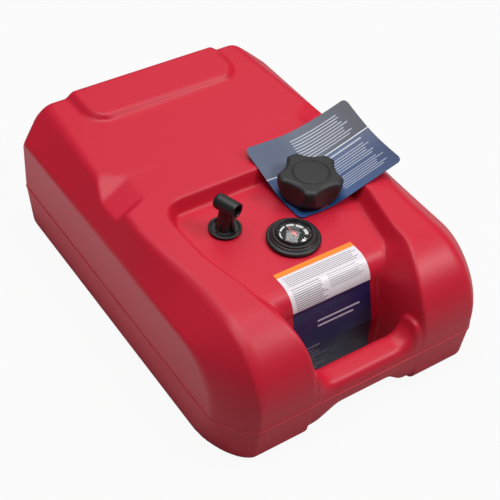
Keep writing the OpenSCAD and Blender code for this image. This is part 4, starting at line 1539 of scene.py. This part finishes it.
@dataclass
class PrintedSheets(SubAssembly):
    """Label over the deck's front edge and the card round the filler's neck."""

    shell: TankShell = None
    label_w: float = 114.0
    label_t: float = 0.3
    label_back: float = 18.0
    label_foot: float = 8.5
    label_gap: float = 0.12
    card_w: float = 153.0
    card_l: float = 123.0
    card_t: float = 0.6
    card_start: tuple[float, float] = (-35.0, -32.5)
    card_lift: float = 2.8
    card_corner: float = 7.0
    card_hole: float = 33.5
    card_hole_off: float = 2.5
    card_gap: float = 1.2
    card_curl: float = 0.008
    side_bend: tuple[float, float] = (45.0, 22.0)
    side_rise: tuple[float, float] = (1.3, 50.0)
    back_bend: tuple[float, float] = (53.0, 21.0)
    back_rise: tuple[float, float] = (1.9, 53.0)
    card_across: tuple[float, float, float] = (0.963, 0.006, 0.053)
    card_along: tuple[float, float, float] = (0.967, 0.044, 0.059)

    def label(self) -> None:
        """Film that follows the skin's middle outline from the deck down the hand hole."""
        tank = self.shell
        arc = np.linspace(0.0, RIGHT_ANGLE, 60)[:-1]
        route = tank.middle_profile(np.array([tank.deck_front, tank.deck_front + self.label_back]),
                                    arc)
        start = tank.foot_steps + tank.bend_steps + tank.wall_steps - 1
        route = route[start:start + 1 + len(arc) + 2]
        route = np.concatenate([[[tank.well, self.label_foot]], route[1:]])
        step = np.linalg.norm(np.diff(route, axis=0), axis=1)
        along = np.concatenate([[0.0], np.cumsum(step)])
        even = np.linspace(0.0, along[-1], 90)
        route = np.stack([np.interp(even, along, route[:, 0]),
                          np.interp(even, along, route[:, 1])], axis=-1)
        slope = np.gradient(route, axis=0)
        slope /= np.linalg.norm(slope, axis=1, keepdims=True)
        out = np.stack([-slope[:, 1], slope[:, 0]], axis=-1)
        u = np.linspace(0.0, 1.0, 24)
        x = (u - 0.5) * self.label_w
        layers = []
        for lift in (self.label_gap, self.label_gap + self.label_t):
            place = route + out * lift
            layers.append(np.stack(np.broadcast_arrays(
                x[None, :], place[:, 0][:, None] - tank.length / 2.0, place[:, 1][:, None]),
                axis=-1))
        v = (even / even[-1])[:, None]
        uv = np.stack(np.broadcast_arrays(u[None, :], v), axis=-1)
        self._sheet("front_label_film", layers[1], layers[0], uv, Finish.LABEL, "label_film",
                    "front_label")

    @property
    def filler(self) -> tuple[float, float]:
        """Place of the filler's axis, across and along."""
        return self.shell.fitting_x, self.shell.fitting_s - self.shell.length / 2.0

    @staticmethod
    def ramp(v: Array, middle: float, half: float, slope: float) -> Array:
        """Bend from flat to a straight slope.

        Zero before the bend, a parabola over its length, then slope times the distance past
        its middle.

        Args:
            v: Places along the bend's direction.
            middle: Middle of the bend.
            half: Half of its length.
            slope: Slope past it.

        Returns:
            Heights in millimetres.
        """
        d = v - middle
        return slope * np.where(d < half, np.clip(d + half, 0.0, None) ** 2 / (4.0 * half), d)

    def card_height(self, x: Array, y: Array) -> Array:
        """Height of the card: two bends away from the deck, pressed down round the cap's foot.

        A bend is given by how far its middle lies inside the deck's edge and by half its
        length, and a slope by the gap kept under the deck's rim over a run. The two heights are
        joined as the sides of a right triangle, and a share of their product curls the far
        corner up.

        Args:
            x: Places across.
            y: Places along.

        Returns:
            Heights in millimetres.
        """
        tank = self.shell
        cap = FillerCap
        back_edge = tank.deck_back + tank.ridge - tank.length / 2.0
        side = self.ramp(x, tank.deck_half - self.side_bend[0], self.side_bend[1],
                         (tank.deck_drop - self.side_rise[0]) / self.side_rise[1])
        back = self.ramp(y, back_edge - self.back_bend[0], self.back_bend[1],
                         (tank.deck_drop - self.back_rise[0]) / self.back_rise[1])
        r = np.hypot(x - self.filler[0], y - self.filler[1])
        share = np.clip((r - cap.foot_r) / (cap.r - cap.foot_r), 0.0, 1.0)
        under = cap.z0 - self.card_gap + cap.swell_h * np.arcsin(share) * 2.0 / np.pi
        far_above = 400.0
        under = np.where(r > cap.r, far_above, under)
        curl = self.card_curl * side * back
        return soft_min(tank.deck + self.card_lift + np.hypot(side, back) + curl, under, 2.5)

    def card(self) -> None:
        """Card with rounded corners, its grid bent into the outline, and the neck's hole cut.

        Seen from above, the bent card is a little shorter than its flat size and leans: a
        triple gives the share of its size, the share's change and the lean.
        """
        n = 110
        u, v = np.meshgrid(np.linspace(0.0, 1.0, n), np.linspace(0.0, 1.0, n), indexing="xy")
        across = np.abs(u - 0.5) * self.card_w
        inset = round_off(self.card_w / 2.0 - across, self.card_corner)
        shrink = 1.0 - 2.0 * inset / self.card_l
        v2 = 0.5 + (v - 0.5) * shrink
        centre = self.filler
        full, change, lean = self.card_across
        x = (centre[0] + self.card_start[0] + self.card_w * (full - change * v2) * u
             - lean * self.card_l * v2 * (1.0 - u))
        full, change, lean = self.card_along
        y = (centre[1] + self.card_start[1] + self.card_l * (full - change * u) * v2
             - lean * self.card_w * u * (1.0 - v2))
        z = self.card_height(x, y)
        upper = np.stack([x, y, z], axis=-1)
        lower = np.stack([x, y, z - self.card_t], axis=-1)
        uv = np.stack([u, v2], axis=-1)
        sheet = self._sheet("info_card_stock", upper, lower, uv, Finish.CARD, "card_stock",
                            "info_card", ride=False)
        hole = add_object("card_hole", lathe("card_hole", np.array(
            [(0.0, self.shell.deck - 3.0), (self.card_hole, self.shell.deck - 3.0),
             (self.card_hole, self.shell.deck + 30.0), (0.0, self.shell.deck + 30.0)]),
            (centre[0] + self.card_hole_off, centre[1] + self.card_hole_off)))
        combine(sheet, [hole], "DIFFERENCE")
        self.fit(sheet, Finish.CARD, "tank", "card_stock", ["info_card"])

    def _sheet(self, name: str, upper: Array, lower: Array, uv: Array, finish: Finish,
               slot: str, node: str, ride: bool = True) -> bpy.types.Object:
        """Closed thin sheet between an upper and a lower grid.

        Args:
            name: Name of the piece.
            upper: Upper grid, (n, m, 3).
            lower: Lower grid, (n, m, 3).
            uv: Print places of the grid, (n, m, 2).
            finish: Its finish.
            slot: The record's material slot.
            node: CAD node that it stands for.
            ride: Whether the piece is finished here.

        Returns:
            The piece.
        """
        loop = np.concatenate([upper, lower[:, ::-1]], axis=1)
        both = np.concatenate([uv, uv[:, ::-1]], axis=1)
        first = np.concatenate([loop[:1, :upper.shape[1]], loop[:1, :upper.shape[1]][:, ::-1]],
                               axis=1)
        last = np.concatenate([loop[-1:, :upper.shape[1]], loop[-1:, :upper.shape[1]][:, ::-1]],
                              axis=1)
        rows = np.concatenate([first, loop, last])
        tex = np.concatenate([both[:1], both, both[-1:]])
        mesh = mesh_from_grid(name, rows, wrap_v=True, uv=tex)
        merge_and_point_out(mesh, 1e-6)
        sheet = add_object(name, mesh, 50.0)
        if ride:
            self.fit(sheet, finish, "tank", slot, [node])
        return sheet

    def build(self) -> None:
        """Make both sheets."""
        self.label()
        self.card()


# ------------------------------------------------------------------ filler cap


@dataclass
class FillerCap(SubAssembly):
    """Five-lobed grip shell with a soft rim, shallow scallops and a ringed top."""

    centre: tuple[float, float] = (62.5, -43.5)
    r: float = 42.0
    z0: float = 151.5
    height: float = 35.0
    foot_r: float = 31.45
    swell_h: float = 25.0
    inner_r: float = 29.75
    inner_top: float = 179.0
    lobes: int = 5
    turn: float = 126.0
    scallop: float = 8.6
    scallop_r: float = 38.0
    crown: float = 7.0
    crown_flat: float = 0.72

    def plan(self, a: Array) -> Array:
        """Radius of the rim round the axis: a circle with scallops between the lobes.

        A scallop is the near side of a circle of radius scallop_r whose centre lies outside
        the rim. Its edges are softened.

        Args:
            a: Angles round the axis.

        Returns:
            Radii in millimetres.
        """
        pitch = FULL_TURN / self.lobes
        off = np.mod(a + math.radians(self.turn), pitch) - pitch / 2.0
        far = self.r - self.scallop + self.scallop_r
        inside = np.clip(self.scallop_r ** 2 - (far * np.sin(off)) ** 2, 0.0, None)
        near = np.where(np.abs(far * np.sin(off)) < self.scallop_r,
                        far * np.cos(off) - np.sqrt(inside), self.r + 9.0)
        return soft_min(self.r, near, 3.0)

    def build(self) -> None:
        """Make the grip shell: rings of the plan, drawn in to the foot and over the crown."""
        a = np.linspace(0.0, FULL_TURN, 320, endpoint=False)[None, :]
        rim = self.plan(a)
        z1 = self.z0 + self.height
        k = np.linspace(0.0, 1.0, 26)[:, None]
        wide = mix(self.foot_r, self.r, np.sin(RIGHT_ANGLE * k))
        rise = self.z0 + self.swell_h * k
        side_r = np.minimum(soft_min(rim + 0.0 * k, wide + 0.0 * rim, 1.5), rim)
        side = np.stack(np.broadcast_arrays(side_r, rise), axis=-1)
        turn = np.linspace(0.0, RIGHT_ANGLE, 14)[1:, None]
        over_r = rim - self.crown * (1.0 - np.cos(turn))
        over_z = z1 - self.crown * self.crown_flat * (1.0 - np.sin(turn)) + 0.0 * rim
        over = np.stack(np.broadcast_arrays(over_r, over_z), axis=-1)
        least = 0.62
        share = np.linspace(0.97, least, 8)[:, None]
        deck_r = mix(self.r * 0.66, rim - self.crown, (share - least) / (1.0 - least))
        deck = np.stack(np.broadcast_arrays(deck_r, z1 + 0.0 * rim - 0.3 * (1 - share)), axis=-1)
        groove = rounded([(self.r * 0.63, z1 - 0.1), (self.r * 0.585, z1 - 0.15),
                          (self.r * 0.575, z1 - 1.5), (self.r * 0.535, z1 - 1.5),
                          (self.r * 0.52, z1 - 0.1), (self.r * 0.3, z1 + 0.15), (0.0, z1 + 0.2)],
                         (0, 1.2, 0.5, 0.5, 1.2, 2.0, 0), 5)
        face = np.broadcast_to(groove[:, None, :], (len(groove), a.shape[1], 2))
        under = np.array([(0.0, self.inner_top), (self.inner_r, self.inner_top),
                          (self.inner_r, self.z0 + 0.8), (self.inner_r + 0.6, self.z0),
                          (self.foot_r - 0.4, self.z0)])
        below = np.broadcast_to(under[:, None, :], (len(under), a.shape[1], 2))
        rows = np.concatenate([below, side, over, deck, face])
        x = self.centre[0] + rows[..., 0] * np.cos(a)
        y = self.centre[1] + rows[..., 0] * np.sin(a)
        mesh = mesh_from_grid("grip_shell", np.stack([x, y, rows[..., 1]], axis=-1), wrap_v=True)
        merge_and_point_out(mesh)
        self.fit(add_object("grip_shell", mesh), Finish.CAP, "filler_cap", "cap_plastic",
                 ["cap_shell"])


# ------------------------------------------------------------------ gauge


@dataclass
class FloatGauge(SubAssembly):
    """Gauge head: stepped flange, bezel, window, dial with its arc of marks and the pointer."""

    centre: tuple[float, float] = (0.0, -100.0)
    z: float = 149.0
    r: float = 34.0
    cup_r: float = 27.0
    cup_in: float = 23.4
    dial_z: float = 154.4
    dial_t: float = 1.0
    window_r: float = 20.2
    dome_rise: float = 7.0
    dome_t: float = 1.6
    plug_r: float = 25.3
    plug_drop: float = 15.0
    marks: int = 6
    mark_r: tuple[float, float] = (13.4, 17.6)
    mark_from: float = 222.0
    mark_sweep: float = 264.0
    mark_gap: float = 9.0
    mark_sink: float = 0.05
    mark_rise: float = 0.12

    def housing(self) -> None:
        """Stepped flange with its cup for the dial and the plug below."""
        z = self.z
        outline = rounded([
            (0.0, z - self.plug_drop), (self.plug_r, z - self.plug_drop), (self.plug_r, z),
            (self.r - 0.6, z), (self.r, z + 1.0), (self.r, z + 2.8), (self.r - 1.6, z + 4.2),
            (self.cup_r + 2.6, z + 4.2), (self.cup_r + 1.8, z + 6.2), (self.cup_r + 0.2, z + 6.4),
            (self.cup_r - 0.2, z + 9.3), (self.cup_in, z + 9.4), (self.cup_in, z + 6.4),
            (self.cup_in - 1.6, z + 6.4), (self.cup_in - 1.6, z + 5.4), (0.0, z + 5.4)],
            (0, 1, 0.3, 0.3, 0.8, 1.2, 1.2, 0.9, 1.0, 0.8, 0.8, 0.4, 0.2, 0.2, 0.1, 0), 4)
        obj = add_object("gauge_head", lathe("gauge_head", outline, self.centre))
        self.fit(obj, Finish.FITTING, "tank", "fitting_plastic", ["gauge_housing"])

    def bezel(self) -> None:
        """Ring that holds the window down, with a rounded lip."""
        z = self.z
        w = self.window_r
        outline = rounded([
            (w + 2.1, z + 6.42), (self.cup_in - 0.1, z + 6.42), (self.cup_in - 0.1, z + 10.4),
            (self.cup_in - 1.0, z + 12.6), (w + 1.6, z + 13.0), (w + 0.5, z + 11.6),
            (w + 0.5, z + 8.5), (w + 2.1, z + 8.5), (w + 2.1, z + 6.42)],
            (0, 0.2, 1.0, 1.2, 1.2, 0.8, 0.1, 0.1, 0), 5)[:-1]
        obj = add_object("gauge_rim", lathe("gauge_rim", outline, self.centre))
        self.fit(obj, Finish.FITTING, "tank", "fitting_plastic", ["gauge_bezel"])

    def window(self) -> None:
        """Clear dome: a spherical crown of even thickness over a flat flange."""
        w = self.window_r + 0.1
        z = self.dial_z + self.dial_t + 0.02
        big = (w * w + self.dome_rise ** 2) / (2.0 * self.dome_rise)
        top = z + 2.0 + self.dome_rise
        a = np.linspace(1.0, 0.0, 24)
        outer = np.arcsin(w / big) * a
        small = big - self.dome_t
        inner = np.arcsin((w - self.dome_t) / small) * a[::-1]
        dome = np.stack([big * np.sin(outer), top - big * (1.0 - np.cos(outer))], axis=-1)
        under = np.stack([small * np.sin(inner),
                          top - self.dome_t - small * (1.0 - np.cos(inner))], axis=-1)
        foot = np.array([(w - self.dome_t, z), (w + 1.9, z), (w + 1.9, z + 1.9),
                         (w + 0.3, z + 1.9)])
        outline = np.concatenate([under, foot, dome])
        obj = add_object("gauge_window", lathe("gauge_window", outline, self.centre))
        self.fit(obj, Finish.WINDOW, "tank", "lens_plastic", ["gauge_lens"])

    def dial_marks(self) -> None:
        """Arc of thin raised marks that widen clockwise, from empty to full."""
        a0 = math.radians(self.mark_from)
        step = math.radians(self.mark_sweep) / self.marks
        gap = math.radians(self.mark_gap)
        r0, r1 = self.mark_r
        parts = []
        for index in range(self.marks):
            a = np.linspace(a0 - index * step, a0 - (index + 1) * step + gap, 16)
            share = index / (self.marks - 1)
            low = mix(r1 - 0.9, r0, share)
            parts.append(self._arc_plate(f"mark_{index}", a, low, r1))
        first = parts[0]
        combine(first, parts[1:], "UNION")
        first.name = "dial_arc"
        self.fit(first, Finish.MARKS, "tank", "dial_face")

    def _arc_plate(self, name: str, a: Array, r0: float, r1: float) -> bpy.types.Object:
        """Thin plate over an arc of the dial.

        Args:
            name: Name of the object.
            a: Angles along the arc.
            r0: Inner radius.
            r1: Outer radius.

        Returns:
            The closed object.
        """
        low = self.dial_z + self.dial_t - self.mark_sink
        high = self.dial_z + self.dial_t + self.mark_rise
        ring = np.array([(r0, low), (r1, low), (r1, high), (r0, high)])
        x = self.centre[0] + ring[None, :, 0] * np.cos(a)[:, None]
        y = self.centre[1] + ring[None, :, 0] * np.sin(a)[:, None]
        zz = np.broadcast_to(ring[None, :, 1], x.shape)
        mesh = mesh_from_grid(name, closed_grid(np.stack([x, y, zz], axis=-1)), wrap_v=True)
        merge_and_point_out(mesh)
        return add_object(name, mesh)

    def build(self) -> None:
        """Make the head's pieces."""
        self.housing()
        self.bezel()
        self.window()
        self.dial_marks()


# ------------------------------------------------------------------ pick-up elbow


@dataclass
class PickupElbow(SubAssembly):
    """Elbow over the dip tube: flange, ribbed tapered stem and a barrel open at its front."""

    centre: tuple[float, float] = (-62.5, -43.5)
    turn: float = 18.0
    z: float = 148.5
    flange_r: float = 21.0
    flange_t: float = 3.4
    outlet_z: float = 187.0
    barrel_r: float = 10.3
    barrel_back: float = 13.0
    barrel_front: float = 17.5
    back_round: float = 5.5
    bore_r: float = 7.25
    bore_depth: float = 20.0
    stem_foot: tuple[float, float] = (11.5, 10.0)
    stem_top: tuple[float, float] = (7.6, 7.6)
    stem_hollow: float = 1.6
    stem_power: float = 3.0
    rib_hollow: float = 2.2
    rib_t: float = 2.6
    rib_reach: float = 18.5
    plug_r: float = 7.8
    plug_drop: float = 13.5
    dip_r: float = 5.0
    voxel: float = 0.5
    smoothing: int = 3
    kept_share: float = 0.35

    def _barrel(self, name: str, outline: Array) -> bpy.types.Object:
        """Solid of revolution about the barrel's level axis.

        The outline gives (radius, distance towards the mouth) and is carried round the axis.

        Args:
            name: Name of the object.
            outline: Outline in millimetres, (n, 2).

        Returns:
            The closed object.
        """
        a = np.linspace(0.0, FULL_TURN, 96, endpoint=False)[None, :]
        t = math.radians(self.turn)
        ahead = (math.sin(t), -math.cos(t))
        r = outline[:, 0][:, None]
        far = outline[:, 1][:, None]
        x = self.centre[0] + far * ahead[0] + r * np.cos(a) * -ahead[1]
        y = self.centre[1] + far * ahead[1] + r * np.cos(a) * ahead[0]
        z = self.outlet_z + r * np.sin(a)
        points = np.stack(np.broadcast_arrays(x, y, z), axis=-1)
        mesh = mesh_from_grid(name, points, wrap_v=True)
        merge_and_point_out(mesh)
        return add_object(name, mesh)

    def _turned(self, x: Array, y: Array) -> tuple[Array, Array]:
        """Places turned with the barrel and moved to the elbow's axis.

        Args:
            x: Places across the barrel.
            y: Places along it.

        Returns:
            The places in the part's frame.
        """
        t = math.radians(self.turn)
        return (self.centre[0] + x * math.cos(t) - y * math.sin(t),
                self.centre[1] + x * math.sin(t) + y * math.cos(t))

    def _stem(self) -> bpy.types.Object:
        """Stem: superellipse sections that shrink upwards on a hollow curve.

        Returns:
            The closed object.
        """
        k = np.linspace(0.0, 1.0, 30)[:, None]
        a = np.linspace(0.0, FULL_TURN, 72, endpoint=False)[None, :]
        shrink = 1.0 - (1.0 - k) ** self.stem_hollow
        power = 2.0 / self.stem_power
        half_x = mix(self.stem_foot[0], self.stem_top[0], shrink)
        half_y = mix(self.stem_foot[1], self.stem_top[1], shrink)
        x = half_x * np.sign(np.cos(a)) * np.abs(np.cos(a)) ** power
        y = half_y * np.sign(np.sin(a)) * np.abs(np.sin(a)) ** power
        x, y = self._turned(x, y)
        z = mix(self.z + 1.0, self.outlet_z, k) + 0.0 * a
        mesh = mesh_from_grid("stem", closed_grid(np.stack([x, y, z], axis=-1)), wrap_v=True)
        merge_and_point_out(mesh)
        return add_object("stem", mesh)

    def _rib(self, index: int) -> bpy.types.Object:
        """Upright rib whose outer edge falls in a hollow curve from the barrel to the flange.

        Args:
            index: Which quarter it stands in.

        Returns:
            The closed object.
        """
        k = np.linspace(0.0, 1.0, 24)
        edge = mix(self.rib_reach, self.stem_top[0], 1.0 - (1.0 - k) ** self.rib_hollow)
        z = mix(self.z + 1.5, self.outlet_z - 4.0, k)
        across = np.array([-0.5, 0.5, 0.5, -0.5]) * self.rib_t
        out = np.stack([0.0 * edge, 0.0 * edge, edge, edge], axis=-1)
        t = math.radians(90.0 * index)
        x, y = self._turned(out * math.cos(t) - across * math.sin(t),
                            out * math.sin(t) + across * math.cos(t))
        zz = np.broadcast_to(z[:, None], x.shape)
        mesh = mesh_from_grid(f"rib_{index}", closed_grid(np.stack([x, y, zz], axis=-1)),
                              wrap_v=True)
        merge_and_point_out(mesh)
        return add_object(f"rib_{index}", mesh)

    def build(self) -> None:
        """Join the forms, round their corners and cut the mouth and the dip tube's socket."""
        z = self.z
        r = self.flange_r
        top = z + self.flange_t
        flange = rounded([(0.0, z), (r - 1.0, z), (r, z + 1.0), (r, top - 0.8), (r - 1.0, top),
                          (r - 3.0, top), (r - 3.8, top - 1.2), (0.0, top - 1.0)],
                         (0, 0.2, 0.4, 0.4, 0.5, 0.5, 0.5, 0), 4)
        body = add_object("elbow", lathe("elbow", flange, self.centre))
        barrel = rounded([(0.0, -self.barrel_back - 2.0), (self.barrel_r, -self.barrel_back - 2.0),
                          (self.barrel_r, self.barrel_front), (0.0, self.barrel_front)],
                         (0, self.back_round, 0.7, 0), 8)
        plug = rounded([(0.0, z - self.plug_drop), (self.plug_r, z - self.plug_drop),
                        (self.plug_r, z + 1.0), (0.0, z + 1.0)], (0, 0.5, 0, 0), 3)
        combine(body, [self._barrel("barrel", barrel), self._stem(),
                       *[self._rib(index) for index in range(4)],
                       add_object("plug", lathe("plug", plug, self.centre))], "UNION")
        remesh = body.modifiers.new("even_out", "REMESH")
        remesh.mode = "VOXEL"
        remesh.voxel_size = self.voxel * MM
        relax = body.modifiers.new("relax", "SMOOTH")
        relax.factor = 0.5
        relax.iterations = self.smoothing
        thin = body.modifiers.new("thin_out", "DECIMATE")
        thin.ratio = self.kept_share
        apply_modifiers(body)
        mouth = rounded([(0.0, self.barrel_front - self.bore_depth),
                         (self.bore_r, self.barrel_front - self.bore_depth),
                         (self.bore_r, self.barrel_front - 1.0),
                         (self.bore_r + 1.2, self.barrel_front + 1.0),
                         (0.0, self.barrel_front + 1.0)], (0, 0.3, 0.3, 0, 0), 4)
        socket = np.array([(0.0, z - self.plug_drop - 1.0), (self.dip_r, z - self.plug_drop - 1.0),
                           (self.dip_r, z - 3.5), (self.dip_r - 1.2, z - 3.5),
                           (self.dip_r - 1.2, self.outlet_z), (0.0, self.outlet_z)])
        combine(body, [self._barrel("mouth", mouth),
                       add_object("socket", lathe("socket", socket, self.centre))], "DIFFERENCE")
        body.data.polygons.foreach_set("use_smooth", np.ones(len(body.data.polygons), bool))
        body.data.set_sharp_from_angle(angle=math.radians(40.0))
        self.fit(body, Finish.FITTING, "tank", "fitting_plastic", ["pickup_elbow"])


# ------------------------------------------------------------------ carried-over pieces


def dress_frame_pieces(paint: Paint) -> None:
    """Give every CAD node that stays its finish.

    Args:
        paint: Source of the materials.
    """
    finishes = {
        "cap_core": Finish.CORE, "cap_gasket": Finish.RUBBER, "relief_poppet": Finish.ACETAL,
        "relief_spring": Finish.STEEL, "relief_retainer": Finish.ACETAL,
        "vacuum_valve": Finish.RUBBER, "tether_pin": Finish.ACETAL,
        "tether_strap": Finish.ACETAL, "gauge_gasket": Finish.RUBBER,
        "gauge_dial": Finish.DIAL, "gauge_pointer": Finish.POINTER,
        "gauge_strip": Finish.STEEL, "gauge_rods": Finish.STEEL, "gauge_foot": Finish.FITTING,
        "gauge_float": Finish.FLOAT, "float_follower": Finish.ACETAL,
        "pickup_gasket": Finish.RUBBER,
        "pickup_tube": Finish.TUBE, "pickup_screen": Finish.TUBE}
    for node, finish in finishes.items():
        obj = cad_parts[node]
        for slot in obj.material_slots:
            slot.material = paint.get(finish)
        LOG.info("%s keeps its shape", node)


def fold_relief_spring() -> None:
    """Give the relief spring its own copy of its mesh.
    """
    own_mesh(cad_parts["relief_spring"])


# ------------------------------------------------------------------ studio


@dataclass(frozen=True)
class Lamp:
    """Square soft lamp: its name, place in metres, side and power in watts."""

    name: str
    place: tuple[float, float, float]
    size: float
    watts: float


@dataclass
class Studio:
    """Pale floor, soft lamps and the camera at the photograph's angle."""

    eye: tuple[float, float, float] = (-0.6658, -0.9070, 1.1170)
    right: tuple[float, float, float] = (0.8311, -0.5534, 0.0558)
    down: tuple[float, float, float] = (-0.3489, -0.5968, -0.7226)
    focal_px: float = 1175.9
    frame_px: float = 500.0
    sensor: float = 36.0
    lamps: tuple[Lamp, ...] = (
        Lamp("back_softbox", (1.0, 1.3, 1.7), 1.4, 5.0),
        Lamp("overhead", (-0.1, 0.1, 2.3), 1.8, 40.0),
        Lamp("right_key", (1.3, -1.1, 1.9), 0.7, 23.0))
    lamps_aim: tuple[float, float, float] = (0.0, 0.0, 0.1)
    fill: float = 0.08
    floor_half: float = 6000.0
    floor_white: float = 0.93
    card_low: tuple[float, float] = (-0.70, -0.26)
    card_high: tuple[float, float] = (-0.20, 0.60)
    card_soft: float = 0.10
    card_glow: float = 1.0

    def camera(self) -> None:
        """Set the camera from its measured place and directions."""
        x = Vector(self.right).normalized()
        y = -Vector(self.down)
        y = (y - x * y.dot(x)).normalized()
        z = x.cross(y)
        data = bpy.data.cameras.new("camera")
        data.sensor_width = self.sensor
        data.lens = self.focal_px * self.sensor / self.frame_px
        data.clip_start = 0.05
        data.clip_end = 50.0
        camera = bpy.data.objects.new("camera", data)
        turn = Matrix((x, y, z)).transposed().to_4x4()
        camera.matrix_world = Matrix.Translation(Vector(self.eye)) @ turn
        bpy.context.scene.collection.objects.link(camera)
        bpy.context.scene.camera = camera

    def lights(self) -> None:
        """Large soft lamps, each aimed at the tank."""
        for lamp in self.lamps:
            data = bpy.data.lights.new(lamp.name, "AREA")
            data.shape = "SQUARE"
            data.size = lamp.size
            data.energy = lamp.watts
            obj = bpy.data.objects.new(lamp.name, data)
            obj.location = lamp.place
            aim = Vector(self.lamps_aim) - Vector(lamp.place)
            obj.rotation_euler = aim.to_track_quat("-Z", "Y").to_euler()
            bpy.context.scene.collection.objects.link(obj)

    def world(self) -> None:
        """World that gives a soft fill, and plain white to the camera, also through glass."""
        world = bpy.data.worlds.new("studio")
        world.use_nodes = True
        world.node_tree.nodes.clear()
        s = Shader(world.node_tree)
        path = s.node("ShaderNodeLightPath")
        seen = s.math("MAXIMUM", path.outputs["Is Camera Ray"],
                      path.outputs["Is Transmission Ray"])
        fill = s.node("ShaderNodeBackground", {
            "Color": (0.95, 0.97, 1.0, 1.0), "Strength": self.fill})
        white = s.node("ShaderNodeBackground", {"Color": (1.0, 1.0, 1.0, 1.0), "Strength": 1.0})
        both = s.node("ShaderNodeMixShader", {0: seen, 1: fill.outputs[0], 2: white.outputs[0]})
        s.node("ShaderNodeOutputWorld", {"Surface": both.outputs[0]})
        bpy.context.scene.world = world

    def floor(self) -> None:
        """Pale floor that keeps the tank's shadow, and glows at the tank's left.

        The camera sees the floor as nearly white all over. The glow is a soft-edged rectangle
        that only the tank sees, as a bright reflection in its left wall.
        """
        corner = np.array([-self.floor_half, self.floor_half])
        x, y = np.meshgrid(corner, corner, indexing="ij")
        mesh = mesh_from_grid("floor", np.stack([x, y, 0.0 * x], axis=-1))
        mesh.flip_normals()
        obj = add_object("floor", mesh)
        made, s, body = new_material("floor_paper")
        s.feed(body, {"Base Color": (0.5, 0.5, 0.5, 1.0), "Roughness": 0.9,
                      "Specular IOR Level": 0.1})
        camera_ray = s.node("ShaderNodeLightPath").outputs["Is Camera Ray"]
        place = s.node("ShaderNodeSeparateXYZ", {0: s.object_place()})
        card = 1.0
        for axis in (0, 1):
            low, high = self.card_low[axis], self.card_high[axis]
            into = s.remap(place.outputs[axis], low, low + self.card_soft)
            out_of = s.remap(place.outputs[axis], high - self.card_soft, high, 1.0, 0.0)
            card = s.math("MULTIPLY", s.math("MULTIPLY", into, out_of), card)
        seen = s.math("MULTIPLY", camera_ray, self.floor_white)
        card = s.math("MULTIPLY", card, s.math("SUBTRACT", self.card_glow, camera_ray))
        share = s.math("MAXIMUM", seen, card)
        glow = s.node("ShaderNodeEmission", {"Color": (1.0, 1.0, 1.0, 1.0), "Strength": 1.0})
        both = s.node("ShaderNodeMixShader", {0: share, 1: body.outputs[0], 2: glow.outputs[0]})
        s.show(both.outputs[0])
        obj.data.materials.append(made)

    def build(self) -> None:
        """Set the stage."""
        self.camera()
        self.lights()
        self.world()
        self.floor()
        bpy.context.scene.view_settings.view_transform = "Standard"


def main() -> None:
    """Build the stage and every sub-assembly, and report them."""
    logging.basicConfig(level=logging.INFO, format="%(name)s: %(message)s")
    Studio().build()
    paint = Paint()
    dress_frame_pieces(paint)
    fold_relief_spring()
    shell = TankShell(paint)
    shell.build()
    PrintedSheets(paint, shell=shell).build()
    FillerCap(paint).build()
    FloatGauge(paint).build()
    PickupElbow(paint).build()


if __name__ == "__main__":
    main()
